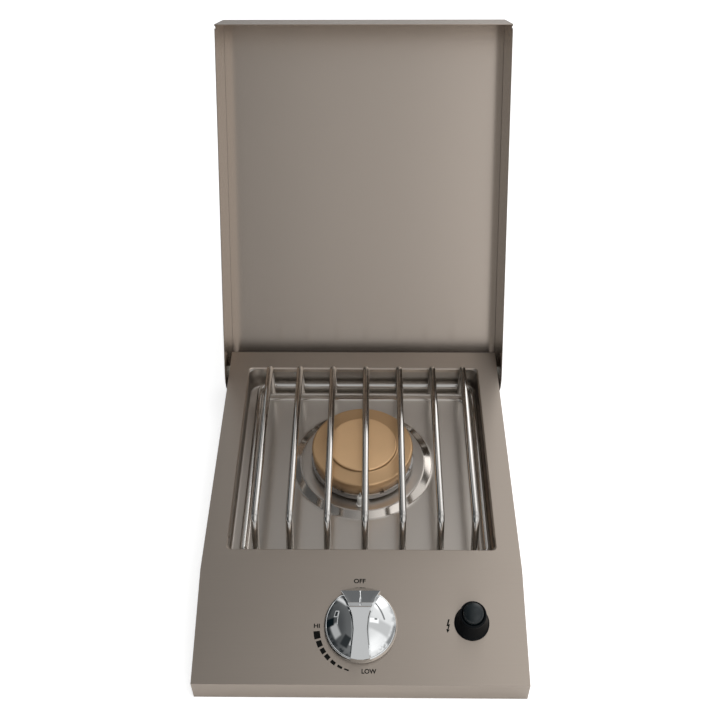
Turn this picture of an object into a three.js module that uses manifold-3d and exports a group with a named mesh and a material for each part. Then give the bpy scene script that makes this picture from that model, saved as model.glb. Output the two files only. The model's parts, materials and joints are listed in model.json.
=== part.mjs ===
// Built in side burner for an outdoor kitchen, in millimetres, +Z up.
// The origin lies on the counter's surface, at the middle of the deck's width and depth.
// +X is the user's right, +Y is the back, and the lid is shown open, leaning on its rests.
import * as THREE from 'three';
import { mergeVertices } from 'three/addons/utils/BufferGeometryUtils.js';
import Module from 'manifold-3d';

const wasm = await Module();
wasm.setup();

// Gaps and overruns
const GAP = 0.3;
const FIT = 0.4;
const OVERRUN = 2;

// Deck: one folded sheet that rests on the counter
const DECK_WIDTH = 330;
const SLOPE_DEPTH = 109;
const DECK_HEIGHT = 59.8;
const LIP_HEIGHT = 26.5;
const DECK_SHEET = 1.2;
const RIM_WIDTH = 25;
const OPENING_SIDE_EDGE = 25;
const OPENING_DEPTH = 264.2;
const OPENING_BACK_EDGE = 29.5;
const OPENING_FRONT_EDGE = 25.3;
const OPENING_CORNER = 3.5;
const HEM_THICK = 2;
const HEM_DROP = 6;
const HEM_BEVEL = 1.4;
const HEM_END = 17;

// Pan under the opening
const PAN_SHEET = 1;
const PAN_FLANGE = 8.6;
const PAN_DEPTH = 31.4;
const PAN_CORNER = 16.4;
const LEDGE_WIDTH = 16;
const FLOOR_STEP = 8;
const BOSS_HEIGHT = 4;
const BOSS_MARGIN = 2.6;
const BOSS_SLOPE = 8.7;
const FLOOR_CORNER = 12;

// Burner
const BURNER_BACK = 16.1;
const NECK_RADIUS = 38.5;
const NECK_BORE = 25;
const NECK_DROP = 15.1;
const HEAD_RADIUS = 59.5;
const HEAD_SEAT_RADIUS = 49;
const HEAD_RING_RISE = 3.5;
const HEAD_RING = 7.2;
const PORT_WALL_OUTER = 50.5;
const PORT_WALL = 3.5;
const PORT_WALL_HEIGHT = 4;
const PORT_WIDTH = 2.4;
const PORT_DEPTH = 2.2;
const PORT_COUNT = 16;
const BOWL_RIM_DROP = 4.5;
const BOWL_NECK_RISE = 12.3;
const LUG_RADIUS = 2.6;
const LUG_FORWARD = 17.5;
const LUG_HEIGHT = 5;
const CAP_SET_IN = 2.1;
const CAP_FLARE = 1;
const CAP_HEIGHT = 17;
const CAP_BEVEL = 1.6;
const CAP_DISC_RADIUS = 39.3;
const CAP_DISC_HEIGHT = 3.5;
const CAP_DISC_BEVEL = 1.2;
const CAP_PLAY = 1.5;
const CAP_ROOF = 4.3;

// Gas valve under the slope, below the knob
const VALVE_DOWN_SHARE = 0.5045;
const STEM_RADIUS = 4;
const STEM_TOP = 17.3;
const STEM_FLAT = 1.2;
const STEM_COLLAR = 2;
const STEM_CLEAR = 1.4;
const TONGUE_WIDTH = 7;
const TONGUE_THICK = 2.4;
const TONGUE_DEPTH = 4.4;
const PUSH_TRAVEL = 2.2;
const BRACKET_SHEET = 2.5;
const BRACKET_DROP = 11.2;
const BRACKET_HALF = 19;
const BRACKET_WALL = 2;
const BRACKET_FOOT = 31;
const BRACKET_LENGTH = 24;
const BRACKET_SCREW_X = 25;
const VALVE_WALL = 4.7;
const VALVE_EAR = 17;
const VALVE_EAR_HEIGHT = 6;
const VALVE_EAR_LENGTH = 12;
const VALVE_SCREW_X = 13.2;
const VALVE_FLOOR = 5.5;
const ROTOR_RADIUS = 8;
const ROTOR_PORT_DOWN = 18.4;
const ROTOR_LENGTH = 23.4;
const ROTOR_PORT = 2.4;
const SPRING_ROOM = 20.6;
const SPRING_RADIUS = 6;
const SPRING_WIRE = 0.8;
const SPRING_TURNS = 5;
const PIPE_WALL = 3.7;
const OUTLET_REACH = 20;
const INLET_REACH = 26;
const GAS_BORE = 3.8;
const SPUD_HEAD_RADIUS = 5.5;
const SPUD_HEAD = 6;
const SPUD_SHANK = 8;
const SPUD_NOSE = 6;
const SPUD_NOSE_RADIUS = 2.2;
const SPUD_BORE = 0.8;

// Venturi and its air shutter
const VENTURI_START = 28;
const VENTURI_RADIUS = 13;
const VENTURI_WALL = 2;
const BOWL_WALL = 3;
const BOWL_DROP = 15;
const VENTURI_FLANGE_STEP = 0.5;
const VENTURI_FLANGE = 4.4;
const VENTURI_SCREW_INSET = 5.5;
const SHUTTER_START = 0.5;
const SHUTTER_LENGTH = 15;
const SHUTTER_SHEET = 1.7;
const WINDOW_START = 4;
const WINDOW_LENGTH = 9;
const WINDOW_HEIGHT = 11;

// Gas supply
const SUPPLY_RADIUS = 4.8;
const SUPPLY_WALL = 1.2;
const SUPPLY_X = -64;
const SUPPLY_RISE = 30;
const SUPPLY_BEND = 14;
const SUPPLY_OUT = 18;
const SUPPLY_CLEAR = 1.2;
const NUT_WALL = 4.2;
const NUT_LENGTH = 12;
const FITTING_WALL = 5.2;
const FITTING_LENGTH = 14;

// Spark electrode
const ELECTRODE_X = -2.3;
const CERAMIC_RADIUS = 3.4;
const CERAMIC_DROP = 10.8;
const CERAMIC_RISE = 15;
const CERAMIC_COLLAR = 4.2;
const CERAMIC_COLLAR_HEIGHT = 2;
const TIP_RADIUS = 1.1;
const TIP_RISE = 3.4;
const TIP_REACH = 2.6;
const CLIP_SHEET = 1.7;
const CLIP_LEFT = 7;
const CLIP_RIGHT = 13;
const CLIP_FRONT = 6;
const CLIP_BACK = 11;
const CLIP_SCREW_X = 9.3;
const CLIP_SCREW_Y = 6.2;
const WIRE_RADIUS = 1.4;
const WIRE_DROP = 3.4;
const WIRE_LOW = 9;
const WIRE_TURN = 40;
const WIRE_BEND = 4;

// Knob
const KNOB_RADIUS = 36.6;
const KNOB_CLEAR = 2.6;
const KNOB_SKIRT = 7;
const KNOB_RIM_STEP = 2.4;
const KNOB_HEIGHT = 28;
const KNOB_TAIL_HEIGHT = 11;
const KNOB_FACET_STEP = 5.6;
const KNOB_CREST_SHARE = 0.5355;
const KNOB_STEP = 1.2;
const KNOB_BACK_SHARE = 0.997;
const KNOB_CREST_HALF = 10.8;
const KNOB_WAIST_HALF = 6.9;
const KNOB_TAIL_HALF = 9.3;
const KNOB_WALL = 4.6;
const KNOB_HOLLOW_TOP = 6;
const KNOB_HUB_RADIUS = 8;
const KNOB_DISH = 1.6;
const POINTER_WIDTH = 1.2;
const POINTER_DEPTH = 0.8;

// Igniter: stands nearly upright on the slope
const IGNITER_SIDE = 54.1;
const IGNITER_DOWN_SHARE = 0.4738;
const IGNITER_LEAN_SHARE = 0.2546;
const COLLAR_BRIM = 1.1;
const COLLAR_FLANGE = 2;
const COLLAR_TAPER = 3.5;
const COLLAR_WALL = 2;
const COLLAR_TOP = 18.5;
const COLLAR_LIP = 1.6;
const BUTTON_PLAY = 0.5;
const BARREL_STEP = 0.9;
const BARREL_LENGTH = 24;
const BARREL_WALL = 2.6;
const BUTTON_RADIUS = 10.4;
const BUTTON_SKIRT = 11;
const BUTTON_PROUD = 2.2;
const BUTTON_DOME = 4.4;
const BUTTON_STEM = 3.4;
const BUTTON_STEM_END = -16;
const BUTTON_TRAVEL = 4;
const BUTTON_SPRING_RADIUS = 6.2;
const BUTTON_SPRING_TURNS = 4;
const IGNITER_NUT_WALL = 5;
const IGNITER_NUT = 5;
const MODULE_PLAY = 1;
const MODULE_TOP = -20.6;
const MODULE_LENGTH = 36;
const MODULE_CUP = 6;

// Housing under the counter
const BOX_INSET = 26;
const BOX_DROP = 108;
const BOX_SHEET = 1.2;
const BOX_FLANGE = 12;
const BOX_SCREW_INSET = 7;
const BOX_SCREW_END = 68;
const BOX_CORNER = 2.4;
const VENT_COUNT = 5;
const VENT_PITCH = 52;
const VENT_LENGTH = 30;
const VENT_HEIGHT = 6;
const VENT_DROP = 40;
const VENT_ROW = 18;

// Small screws and nuts
const SCREW_HEAD = 2;
const SCREW_HEAD_RADIUS = 3.4;
const SCREW_RADIUS = 1.9;
const SCREW_TAIL = 1.5;
const PAN_SCREW_HEAD_RADIUS = 2.2;
const PAN_SCREW_X = 83.7;
const PAN_SCREW_DROP = 6.9;
const PAN_CLIP_SHEET = 2;
const PAN_CLIP_WIDTH = 14;
const PAN_CLIP_DROP = 10;
const PAN_CLIP_RISE = 4;

// Grate of round rod
const ROD = 4;
const GRATE_X = 3.8;
const GRATE_HEIGHT = 50;
const BAR_PLACE_SHARES = [-1, -0.6862, -0.3431, 0, 0.3431, 0.6862, 1];
const OUTER_BAR_INSET = 14.4;
const RAIL_INSET = 11;
const FRAME_RISE = 3.2;
const REAR_ROD_INSET = 6.8;
const LEG_STEP = 4.2;
const FRONT_RUN = 24;
const FRONT_FOOT_STEP = 3.4;
const FRONT_ROD_INSET = 10.1;
const REAR_BEND = 8;
const FRONT_BEND = 12;
const FRAME_BEND = 12;

// Lid: a full cover turning about two bolts
const LID_PIVOT_INSET = 17.8;
const LID_PIVOT_Z = 41.3;
const LID_OPEN_DEGREES = 122.5;
const LID_SHEET = 1;
const LID_SIDE_CLEAR = 3.6;
const LID_BACK_CLEAR = 3.5;
const LID_FRONT_CLEAR = 15.5;
const LID_UNDERCUT = 13.6;
const LID_EDGE_CLEAR = 7.65;
const LID_OVER_DECK = 18.5;
const LID_CORNER = 28;
const LID_SLOT_WIDTH = 2.6;
const LID_SLOT_LENGTH = 8;
const LID_SLOT_INSET = 1;
const HINGE_SHOULDER = 4;
const HINGE_HEAD_RADIUS = 6;
const HINGE_HEAD = 2.4;
const HINGE_THREAD = 2.9;
const HINGE_NUT_RADIUS = 6;
const HINGE_NUT = 5;
const SPACER_RADIUS = 8;
const REST_WIDTH = 22;
const REST_HEIGHT = 5.6;
const REST_THICK = 1.5;
const REST_X = 100;
const REST_Z = 1.2;
const STOP_RADIUS = 3;
const STOP_PAST = 0.8;
const STOP_Y = -60;
const STOP_PIN = 1.6;

// Sizes worked out from the ones above
const halfWidth = DECK_WIDTH / 2;
const flatDepth = OPENING_BACK_EDGE + OPENING_DEPTH + OPENING_FRONT_EDGE;
const backY = (flatDepth + SLOPE_DEPTH) / 2;
const frontY = -backY;
const bendY = backY - flatDepth;
const slopeAngle = Math.atan2(DECK_HEIGHT - LIP_HEIGHT, SLOPE_DEPTH);
const slopeLength = Math.hypot(DECK_HEIGHT - LIP_HEIGHT, SLOPE_DEPTH);
const openHalfX = halfWidth - OPENING_SIDE_EDGE;
const openHalfY = OPENING_DEPTH / 2;
const openMidY = backY - OPENING_BACK_EDGE - openHalfY;
const screwHole = SCREW_RADIUS + FIT;

// Pan: its walls stand inside the hem, and its heights follow the deck's top
const panInset = HEM_THICK + FIT;
const wallX = openHalfX + panInset;
const wallY = openHalfY + panInset;
const wallCorner = PAN_CORNER;
const panFlangeTop = DECK_HEIGHT - DECK_SHEET - FIT;
const ledgeZ = panFlangeTop - PAN_DEPTH;
const floorZ = ledgeZ - FLOOR_STEP;
const bossTop = floorZ + BOSS_HEIGHT;
const panScrewZ = panFlangeTop - PAN_SCREW_DROP;

// Burner: head, cap, electrode and venturi follow the boss that they stand on
const burnerY = openMidY + BURNER_BACK;
const neckBottom = bossTop - NECK_DROP;
const ringBottom = bossTop + HEAD_RING_RISE;
const ringTop = ringBottom + HEAD_RING;
const portWallInner = PORT_WALL_OUTER - PORT_WALL;
const portWallTop = ringTop + PORT_WALL_HEIGHT;
const bowlRimZ = ringTop - BOWL_RIM_DROP;
const bowlNeckZ = neckBottom + BOWL_NECK_RISE;
const capFootZ = ringTop + GAP;
const capFootRadius = HEAD_RADIUS - CAP_SET_IN;
const capRadius = capFootRadius + CAP_FLARE;
const capRimZ = capFootZ + CAP_HEIGHT;
const capCeiling = capRimZ - CAP_ROOF;
const capBore = PORT_WALL_OUTER + CAP_PLAY;
const electrodeY = burnerY - HEAD_RADIUS - CERAMIC_COLLAR;
const bossTopRadius = burnerY - electrodeY + CLIP_FRONT + BOSS_MARGIN;
const bossBaseRadius = bossTopRadius + BOSS_SLOPE;
const ceramicBottom = bossTop - CERAMIC_DROP;
const ceramicTop = bossTop + CERAMIC_RISE;
const bowlRadius = NECK_BORE + BOWL_WALL;
const venturiBore = VENTURI_RADIUS - VENTURI_WALL;
const venturiFlangeRadius = NECK_RADIUS - VENTURI_FLANGE_STEP;
const venturiScrewRadius = NECK_RADIUS - VENTURI_SCREW_INSET;
const shutterRadius = VENTURI_RADIUS + GAP + SHUTTER_SHEET;

// Valve: heights below the slope, from the bracket's plate down to the gas passage
const valveDown = slopeLength * VALVE_DOWN_SHARE;
const plateTop = -BRACKET_DROP;
const plateBottom = plateTop - BRACKET_SHEET;
const bodyTop = plateBottom - GAP;
const collarTop = bodyTop;
const collarBottom = collarTop - STEM_COLLAR;
const rotorTop = collarBottom - SPRING_ROOM;
const rotorBottom = rotorTop - ROTOR_LENGTH;
const gasOut = rotorTop - ROTOR_PORT_DOWN;
const valveRadius = ROTOR_RADIUS + GAP + VALVE_WALL;
const stemCollarRadius = ROTOR_RADIUS - FIT;
const stemHole = STEM_RADIUS + STEM_CLEAR;
const pipeRadius = GAS_BORE + PIPE_WALL;

// Housing and supply tube
const boxHalfX = halfWidth - BOX_INSET;
const boxHalfY = backY - BOX_INSET;
const boxScrewX = boxHalfX + BOX_SCREW_INSET;
const boxScrewY = boxHalfY - BOX_SCREW_END;
const supplyZ = SUPPLY_RISE - BOX_DROP;
const supplyEnd = boxHalfY + SUPPLY_OUT;
const supplyBore = SUPPLY_RADIUS - SUPPLY_WALL;
const supplyHole = SUPPLY_RADIUS + SUPPLY_CLEAR;
const nutRadius = SUPPLY_RADIUS + NUT_WALL;
const fittingRadius = SUPPLY_RADIUS + FITTING_WALL;

// Knob and igniter
const knobRim = KNOB_RADIUS - KNOB_RIM_STEP;
const knobFacetBack = KNOB_RADIUS - KNOB_FACET_STEP;
const knobCrest = KNOB_RADIUS * KNOB_CREST_SHARE;
const knobBackHalf = Math.sqrt(KNOB_RADIUS ** 2 - knobFacetBack ** 2) * KNOB_BACK_SHARE;
const knobHollowRadius = KNOB_RADIUS - KNOB_WALL;
const igniterX = halfWidth - IGNITER_SIDE;
const igniterDown = slopeLength * IGNITER_DOWN_SHARE;
const collarBore = BUTTON_RADIUS + BUTTON_PLAY;
const collarTopRadius = collarBore + COLLAR_WALL;
const collarFootRadius = collarTopRadius + COLLAR_TAPER;
const collarFlangeRadius = collarFootRadius + COLLAR_BRIM;
const barrelRadius = collarTopRadius - BARREL_STEP;
const barrelBore = barrelRadius - BARREL_WALL;
const igniterNutRadius = barrelRadius + IGNITER_NUT_WALL;
const moduleRadius = barrelBore - MODULE_PLAY;

// Grate: its rods follow the pan's walls and its height the ledge
const railOffset = wallX - RAIL_INSET;
const outerBar = railOffset - OUTER_BAR_INSET;
const rearRodY = openMidY + wallY - REAR_ROD_INSET;
const legY = rearRodY - LEG_STEP;
const frontRodY = openMidY - wallY + FRONT_ROD_INSET;
const frontBendY = frontRodY + FRONT_RUN;
const barTop = ledgeZ + GRATE_HEIGHT;

// Lid: it covers the deck with a named clearance on each side
const lidHalf = halfWidth + LID_SIDE_CLEAR;
const lidPivotY = backY - LID_PIVOT_INSET;
const lidRearReach = LID_PIVOT_INSET + LID_BACK_CLEAR;
const lidFrontReach = lidPivotY - frontY + LID_FRONT_CLEAR;
const lidPanelRise = DECK_HEIGHT - LID_PIVOT_Z + LID_OVER_DECK;
const lidDrop = LID_PIVOT_Z + lidPanelRise - LID_EDGE_CLEAR;
const hingeHole = HINGE_SHOULDER + FIT;
const hingeDeckHole = HINGE_THREAD + GAP;

// Colours of the pieces
const stainless = () => new THREE.MeshStandardMaterial({ color: 0xa39a90, metalness: 1, roughness: 0.34 });
const polished = () => new THREE.MeshStandardMaterial({ color: 0xbdb8b2, metalness: 1, roughness: 0.16 });
const plated = () => new THREE.MeshStandardMaterial({ color: 0x9c9c98, metalness: 1, roughness: 0.4 });
const brass = () => new THREE.MeshStandardMaterial({ color: 0xb08a62, metalness: 1, roughness: 0.38 });
const casting = () => new THREE.MeshStandardMaterial({ color: 0x9b9994, metalness: 1, roughness: 0.5 });
const chrome = () => new THREE.MeshStandardMaterial({ color: 0xc4c6c6, metalness: 1, roughness: 0.06 });
const black = () => new THREE.MeshStandardMaterial({ color: 0x16191b, metalness: 0, roughness: 0.45 });
const rubber = () => new THREE.MeshStandardMaterial({ color: 0x1c1c1c, metalness: 0, roughness: 0.8 });
const nylon = () => new THREE.MeshStandardMaterial({ color: 0xd9d6cd, metalness: 0, roughness: 0.5 });
const ceramic = () => new THREE.MeshStandardMaterial({ color: 0xe9e7e2, metalness: 0, roughness: 0.25 });

// Turns a geometry's faces outward by the sign of its volume.
function outward(geometry) {
  const bare = geometry.clone();
  bare.deleteAttribute('normal');
  bare.deleteAttribute('uv');
  const merged = mergeVertices(bare);
  const p = merged.attributes.position;
  const index = merged.index.array;
  const [a, b, c] = [new THREE.Vector3(), new THREE.Vector3(), new THREE.Vector3()];
  let volume = 0;
  for (let i = 0; i < index.length; i += 3) {
    a.fromBufferAttribute(p, index[i]);
    b.fromBufferAttribute(p, index[i + 1]);
    c.fromBufferAttribute(p, index[i + 2]);
    volume += a.dot(b.cross(c));
  }
  const kept = [];
  for (let i = 0; i < index.length; i += 3) {
    const [u, v, w] = [index[i], index[i + 1], index[i + 2]];
    if (u === v || v === w || u === w) continue;
    kept.push(u, volume < 0 ? w : v, volume < 0 ? v : w);
  }
  merged.setIndex(kept);
  return merged;
}

// A closed geometry as a solid for cutting and joining.
function solidOf(shape) {
  if (!shape.isBufferGeometry) return shape;
  const g = outward(shape);
  return new wasm.Manifold(new wasm.Mesh({
    numProp: 3,
    vertProperties: Float32Array.from(g.attributes.position.array),
    triVerts: Uint32Array.from(g.index.array),
  }));
}

// A cut or joined solid as a geometry again.
function geometryOf(shape) {
  if (shape.isBufferGeometry) {
    const g = outward(shape);
    g.computeVertexNormals();
    return g;
  }
  const mesh = shape.getMesh();
  const g = new THREE.BufferGeometry();
  const places = [];
  for (let i = 0; i < mesh.vertProperties.length; i += mesh.numProp) {
    places.push(mesh.vertProperties[i], mesh.vertProperties[i + 1], mesh.vertProperties[i + 2]);
  }
  g.setAttribute('position', new THREE.Float32BufferAttribute(places, 3));
  g.setIndex(Array.from(mesh.triVerts));
  g.computeVertexNormals();
  return g;
}

function join(...shapes) {
  return shapes.map(solidOf).reduce((sum, next) => sum.add(next));
}

function cut(base, ...tools) {
  return tools.map(solidOf).reduce((rest, tool) => rest.subtract(tool), solidOf(base));
}

// Box between two corners.
function block(x0, x1, y0, y1, z0, z1) {
  const g = new THREE.BoxGeometry(x1 - x0, y1 - y0, z1 - z0);
  return g.translate((x0 + x1) / 2, (y0 + y1) / 2, (z0 + z1) / 2);
}

// Outline in (y, z) drawn out along X.
function alongX(points, x0, x1) {
  const shape = new THREE.Shape(points.map(([y, z]) => new THREE.Vector2(y, z)));
  const g = new THREE.ExtrudeGeometry(shape, { depth: x1 - x0, bevelEnabled: false });
  const turn = new THREE.Matrix4().makeBasis(
    new THREE.Vector3(0, 1, 0), new THREE.Vector3(0, 0, 1), new THREE.Vector3(1, 0, 0));
  return g.applyMatrix4(turn).translate(x0, 0, 0);
}

// Outline in (x, z) drawn out along Y.
function alongY(points, y0, y1) {
  const shape = new THREE.Shape(points.map(([x, z]) => new THREE.Vector2(x, z)));
  const g = new THREE.ExtrudeGeometry(shape, { depth: y1 - y0, bevelEnabled: false });
  const turn = new THREE.Matrix4().makeBasis(
    new THREE.Vector3(1, 0, 0), new THREE.Vector3(0, 0, 1), new THREE.Vector3(0, -1, 0));
  return g.applyMatrix4(turn).translate(0, y1, 0);
}

// Rectangle with round corners, drawn up along Z.
function roundBlock(halfX, halfY, radius, midX, midY, z0, z1, sides = 4) {
  const shape = new THREE.Shape();
  const centres = [[1, 1], [-1, 1], [-1, -1], [1, -1]];
  centres.forEach(([sx, sy], corner) => {
    for (let i = 0; i <= sides; i += 1) {
      const angle = (corner + i / sides) * Math.PI / 2;
      const x = midX + sx * (halfX - radius) + radius * Math.cos(angle);
      const y = midY + sy * (halfY - radius) + radius * Math.sin(angle);
      if (corner === 0 && i === 0) shape.moveTo(x, y);
      else shape.lineTo(x, y);
    }
  });
  const g = new THREE.ExtrudeGeometry(shape, { depth: z1 - z0, bevelEnabled: false });
  return g.translate(0, 0, z0);
}

// Round bar along Z, X or Y.
function barZ(radius, z0, z1, x, y, sides = 16) {
  const g = new THREE.CylinderGeometry(radius, radius, z1 - z0, sides).rotateX(Math.PI / 2);
  return g.translate(x, y, (z0 + z1) / 2);
}

function barX(radius, x0, x1, y, z, sides = 16) {
  const g = new THREE.CylinderGeometry(radius, radius, x1 - x0, sides).rotateZ(Math.PI / 2);
  return g.translate((x0 + x1) / 2, y, z);
}

function barY(radius, y0, y1, x, z, sides = 16) {
  const g = new THREE.CylinderGeometry(radius, radius, y1 - y0, sides);
  return g.translate(x, (y0 + y1) / 2, z);
}

// Profile of (radius, z) turned about the Z axis through (x, y).
function turned(profile, x, y, sides = 32) {
  const points = profile.map(([r, z]) => new THREE.Vector2(r, z));
  const first = profile[0];
  if (first[0] > 0) points.push(new THREE.Vector2(first[0], first[1]));
  return new THREE.LatheGeometry(points, sides).rotateX(Math.PI / 2).translate(x, y, 0);
}

// A route of straight runs whose corners are rounded with short steps.
class RodPath extends THREE.Curve {
  constructor(points) {
    super();
    this.points = points;
  }

  getPoint(t) {
    const last = this.points.length - 1;
    const at = Math.min(Math.max(t, 0), 1) * last;
    const low = Math.min(Math.floor(at), last - 1);
    return this.points[low].clone().lerp(this.points[low + 1], at - low);
  }

  getPointAt(u) {
    return this.getPoint(u);
  }

  getSpacedPoints() {
    return this.points.map((p) => p.clone());
  }

  getTangentAt(u) {
    const last = this.points.length - 1;
    const at = Math.round(u * last);
    const ahead = this.points[Math.min(at + 1, last)];
    const behind = this.points[Math.max(at - 1, 0)];
    const into = this.points[at].clone().sub(behind).normalize();
    const out = ahead.clone().sub(this.points[at]).normalize();
    return into.add(out).normalize();
  }
}

function roundedRoute(corners, radius, steps) {
  const route = [corners[0].clone()];
  for (let i = 1; i < corners.length - 1; i += 1) {
    const into = corners[i].clone().sub(corners[i - 1]).normalize();
    const out = corners[i + 1].clone().sub(corners[i]).normalize();
    const turn = into.angleTo(out);
    const back = radius * Math.tan(turn / 2);
    const start = corners[i].clone().addScaledVector(into, -back);
    const side = out.clone().addScaledVector(into, -out.dot(into)).normalize();
    const centre = start.clone().addScaledVector(side, radius);
    for (let k = 0; k <= steps; k += 1) {
      const angle = turn * k / steps;
      route.push(centre.clone()
        .addScaledVector(into, radius * Math.sin(angle))
        .addScaledVector(side, -radius * Math.cos(angle)));
    }
  }
  route.push(corners[corners.length - 1].clone());
  return route;
}

// Rod or tube along a route.
function rodAlong(route, radius, bore = 0, sides = 10) {
  const ring = (r) => Array.from({ length: sides }, (_, i) => new THREE.Vector2(
    r * Math.cos(2 * Math.PI * i / sides), r * Math.sin(2 * Math.PI * i / sides)));
  const shape = new THREE.Shape(ring(radius));
  if (bore > 0) shape.holes.push(new THREE.Path(ring(bore).reverse()));
  const path = new RodPath(route);
  return new THREE.ExtrudeGeometry(shape, { steps: route.length - 1, extrudePath: path, bevelEnabled: false });
}

// Spring wire wound about the Z axis.
function coil(radius, wire, z0, z1, turns) {
  const steps = turns * 8;
  const route = [];
  for (let i = 0; i <= steps; i += 1) {
    const angle = 2 * Math.PI * i / 8;
    const z = z0 + wire + (z1 - z0 - wire - wire) * i / steps;
    route.push(new THREE.Vector3(radius * Math.cos(angle), radius * Math.sin(angle), z));
  }
  return rodAlong(route, wire, 0, 5);
}

// Pan head screw standing on z = 0 of its own frame, with its shank pointing down.
function screw(length, headRadius = SCREW_HEAD_RADIUS, head = SCREW_HEAD, radius = SCREW_RADIUS) {
  return turned([[0, -length], [radius, -length], [radius, 0], [headRadius, 0],
    [headRadius, head], [0, head]], 0, 0, 8);
}

const root = new THREE.Group();
const panel = new THREE.Group();
panel.position.set(0, bendY, DECK_HEIGHT);
panel.rotation.x = slopeAngle;
root.add(panel);
root.updateMatrixWorld(true);

function add(parent, name, shape, material) {
  const mesh = new THREE.Mesh(geometryOf(shape), material);
  mesh.name = name;
  parent.add(mesh);
  return mesh;
}

// A shape drawn on the slope, in its place on the whole part.
const onSlope = (geometry) => geometry.clone().applyMatrix4(panel.matrixWorld);
const slopePoint = (x, up, out) => new THREE.Vector3(x, up, out).applyMatrix4(panel.matrixWorld);

// The igniter's pieces lean up the slope, so their rings stay parallel to it.
const leanMatrix = new THREE.Matrix4().set(
  1, 0, 0, igniterX,
  0, 1, IGNITER_LEAN_SHARE, -igniterDown,
  0, 0, 1, 0,
  0, 0, 0, 1);
const lean = (geometry) => geometry.clone().applyMatrix4(leanMatrix);

// Deck
const tanHalf = Math.tan(slopeAngle / 2);
const lipInner = LIP_HEIGHT - DECK_SHEET * Math.cos(slopeAngle) / (1 + Math.sin(slopeAngle));
const deckOuter = alongX([[backY, 0], [backY, DECK_HEIGHT], [bendY, DECK_HEIGHT],
  [frontY, LIP_HEIGHT], [frontY, 0]], -halfWidth, halfWidth);
const deckInner = alongX([[backY - DECK_SHEET, DECK_SHEET], [backY - DECK_SHEET, DECK_HEIGHT - DECK_SHEET],
  [bendY + DECK_SHEET * tanHalf, DECK_HEIGHT - DECK_SHEET], [frontY + DECK_SHEET, lipInner],
  [frontY + DECK_SHEET, DECK_SHEET]], -halfWidth + DECK_SHEET, halfWidth - DECK_SHEET);
const rimInnerX = halfWidth - RIM_WIDTH;
const rimInnerY = backY - RIM_WIDTH;

// The hem is folded down along the four sides and stops short of the pan's round corners.
const hemX = openHalfX + HEM_THICK;
const hemY = openHalfY + HEM_THICK;
const hemLow = DECK_HEIGHT - HEM_DROP;
const hemHigh = DECK_HEIGHT - DECK_SHEET / 2;
const hem = join(
  block(-hemX, hemX, openMidY - openHalfY + HEM_END, openMidY + openHalfY - HEM_END, hemLow, hemHigh),
  block(-openHalfX + HEM_END, openHalfX - HEM_END, openMidY - hemY, openMidY + hemY, hemLow, hemHigh));
const openingCut = roundBlock(openHalfX, openHalfY, OPENING_CORNER, 0, openMidY,
  DECK_HEIGHT - HEM_DROP - OVERRUN, DECK_HEIGHT + OVERRUN);
const bevelTop = roundBlock(openHalfX + HEM_BEVEL, openHalfY + HEM_BEVEL, OPENING_CORNER + HEM_BEVEL,
  0, openMidY, DECK_HEIGHT, DECK_HEIGHT + OVERRUN);

// The bevel round the opening: two matching outlines joined by one flat face per side.
function bevelCut() {
  const shape = bevelTop.clone();
  const p = shape.attributes.position;
  const widen = (value, mid, half, cornerHalf) => mid + (value - mid) * (cornerHalf / half);
  for (let i = 0; i < p.count; i += 1) {
    if (p.getZ(i) > DECK_HEIGHT + OVERRUN / 2) continue;
    p.setXYZ(i, widen(p.getX(i), 0, openHalfX + HEM_BEVEL, openHalfX),
      widen(p.getY(i), openMidY, openHalfY + HEM_BEVEL, openHalfY), DECK_HEIGHT - HEM_BEVEL);
  }
  for (let i = 0; i < p.count; i += 1) {
    if (p.getZ(i) < DECK_HEIGHT) continue;
    const reach = (HEM_BEVEL + OVERRUN) / HEM_BEVEL;
    const baseX = openHalfX;
    const baseY = openHalfY;
    p.setXYZ(i, widen(p.getX(i), 0, openHalfX + HEM_BEVEL, baseX + HEM_BEVEL * reach),
      widen(p.getY(i), openMidY, openHalfY + HEM_BEVEL, baseY + HEM_BEVEL * reach), DECK_HEIGHT + OVERRUN);
  }
  return shape;
}

const valveHole = onSlope(barZ(stemHole, -DECK_SHEET - OVERRUN, OVERRUN, 0, -valveDown));
const bracketHoles = [-1, 1].map((side) => onSlope(barZ(screwHole, -DECK_SHEET - OVERRUN, OVERRUN,
  side * BRACKET_SCREW_X, -valveDown, 12)));
const igniterHole = onSlope(lean(barZ(barrelRadius + GAP, -DECK_SHEET - OVERRUN, OVERRUN, 0, 0, 24)));
const pivotHole = barX(hingeDeckHole, -halfWidth - OVERRUN, halfWidth + OVERRUN, lidPivotY, LID_PIVOT_Z, 16);
const closedEdge = LID_PIVOT_Z - lidDrop + lidPanelRise;
const stopZ = closedEdge - GAP - STOP_RADIUS;
const stopHole = barX(STOP_PIN + GAP, -halfWidth - OVERRUN, halfWidth + OVERRUN, STOP_Y, stopZ, 12);
const flangeTopZ = DECK_SHEET + GAP + BOX_SHEET;
const boxCorners = [['front_left', -1, -1], ['front_right', 1, -1], ['rear_left', -1, 1], ['rear_right', 1, 1]];
const boxHoles = boxCorners.map(([, sx, sy]) => barZ(screwHole, -OVERRUN, flangeTopZ + OVERRUN,
  sx * boxScrewX, sy * boxScrewY, 12));
add(root, 'deck_shell', cut(join(cut(deckOuter, deckInner), hem), openingCut, bevelCut(),
  block(-rimInnerX, rimInnerX, -rimInnerY, rimInnerY, -OVERRUN, DECK_SHEET + OVERRUN),
  valveHole, ...bracketHoles, igniterHole, pivotHole, stopHole, ...boxHoles), stainless());

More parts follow.
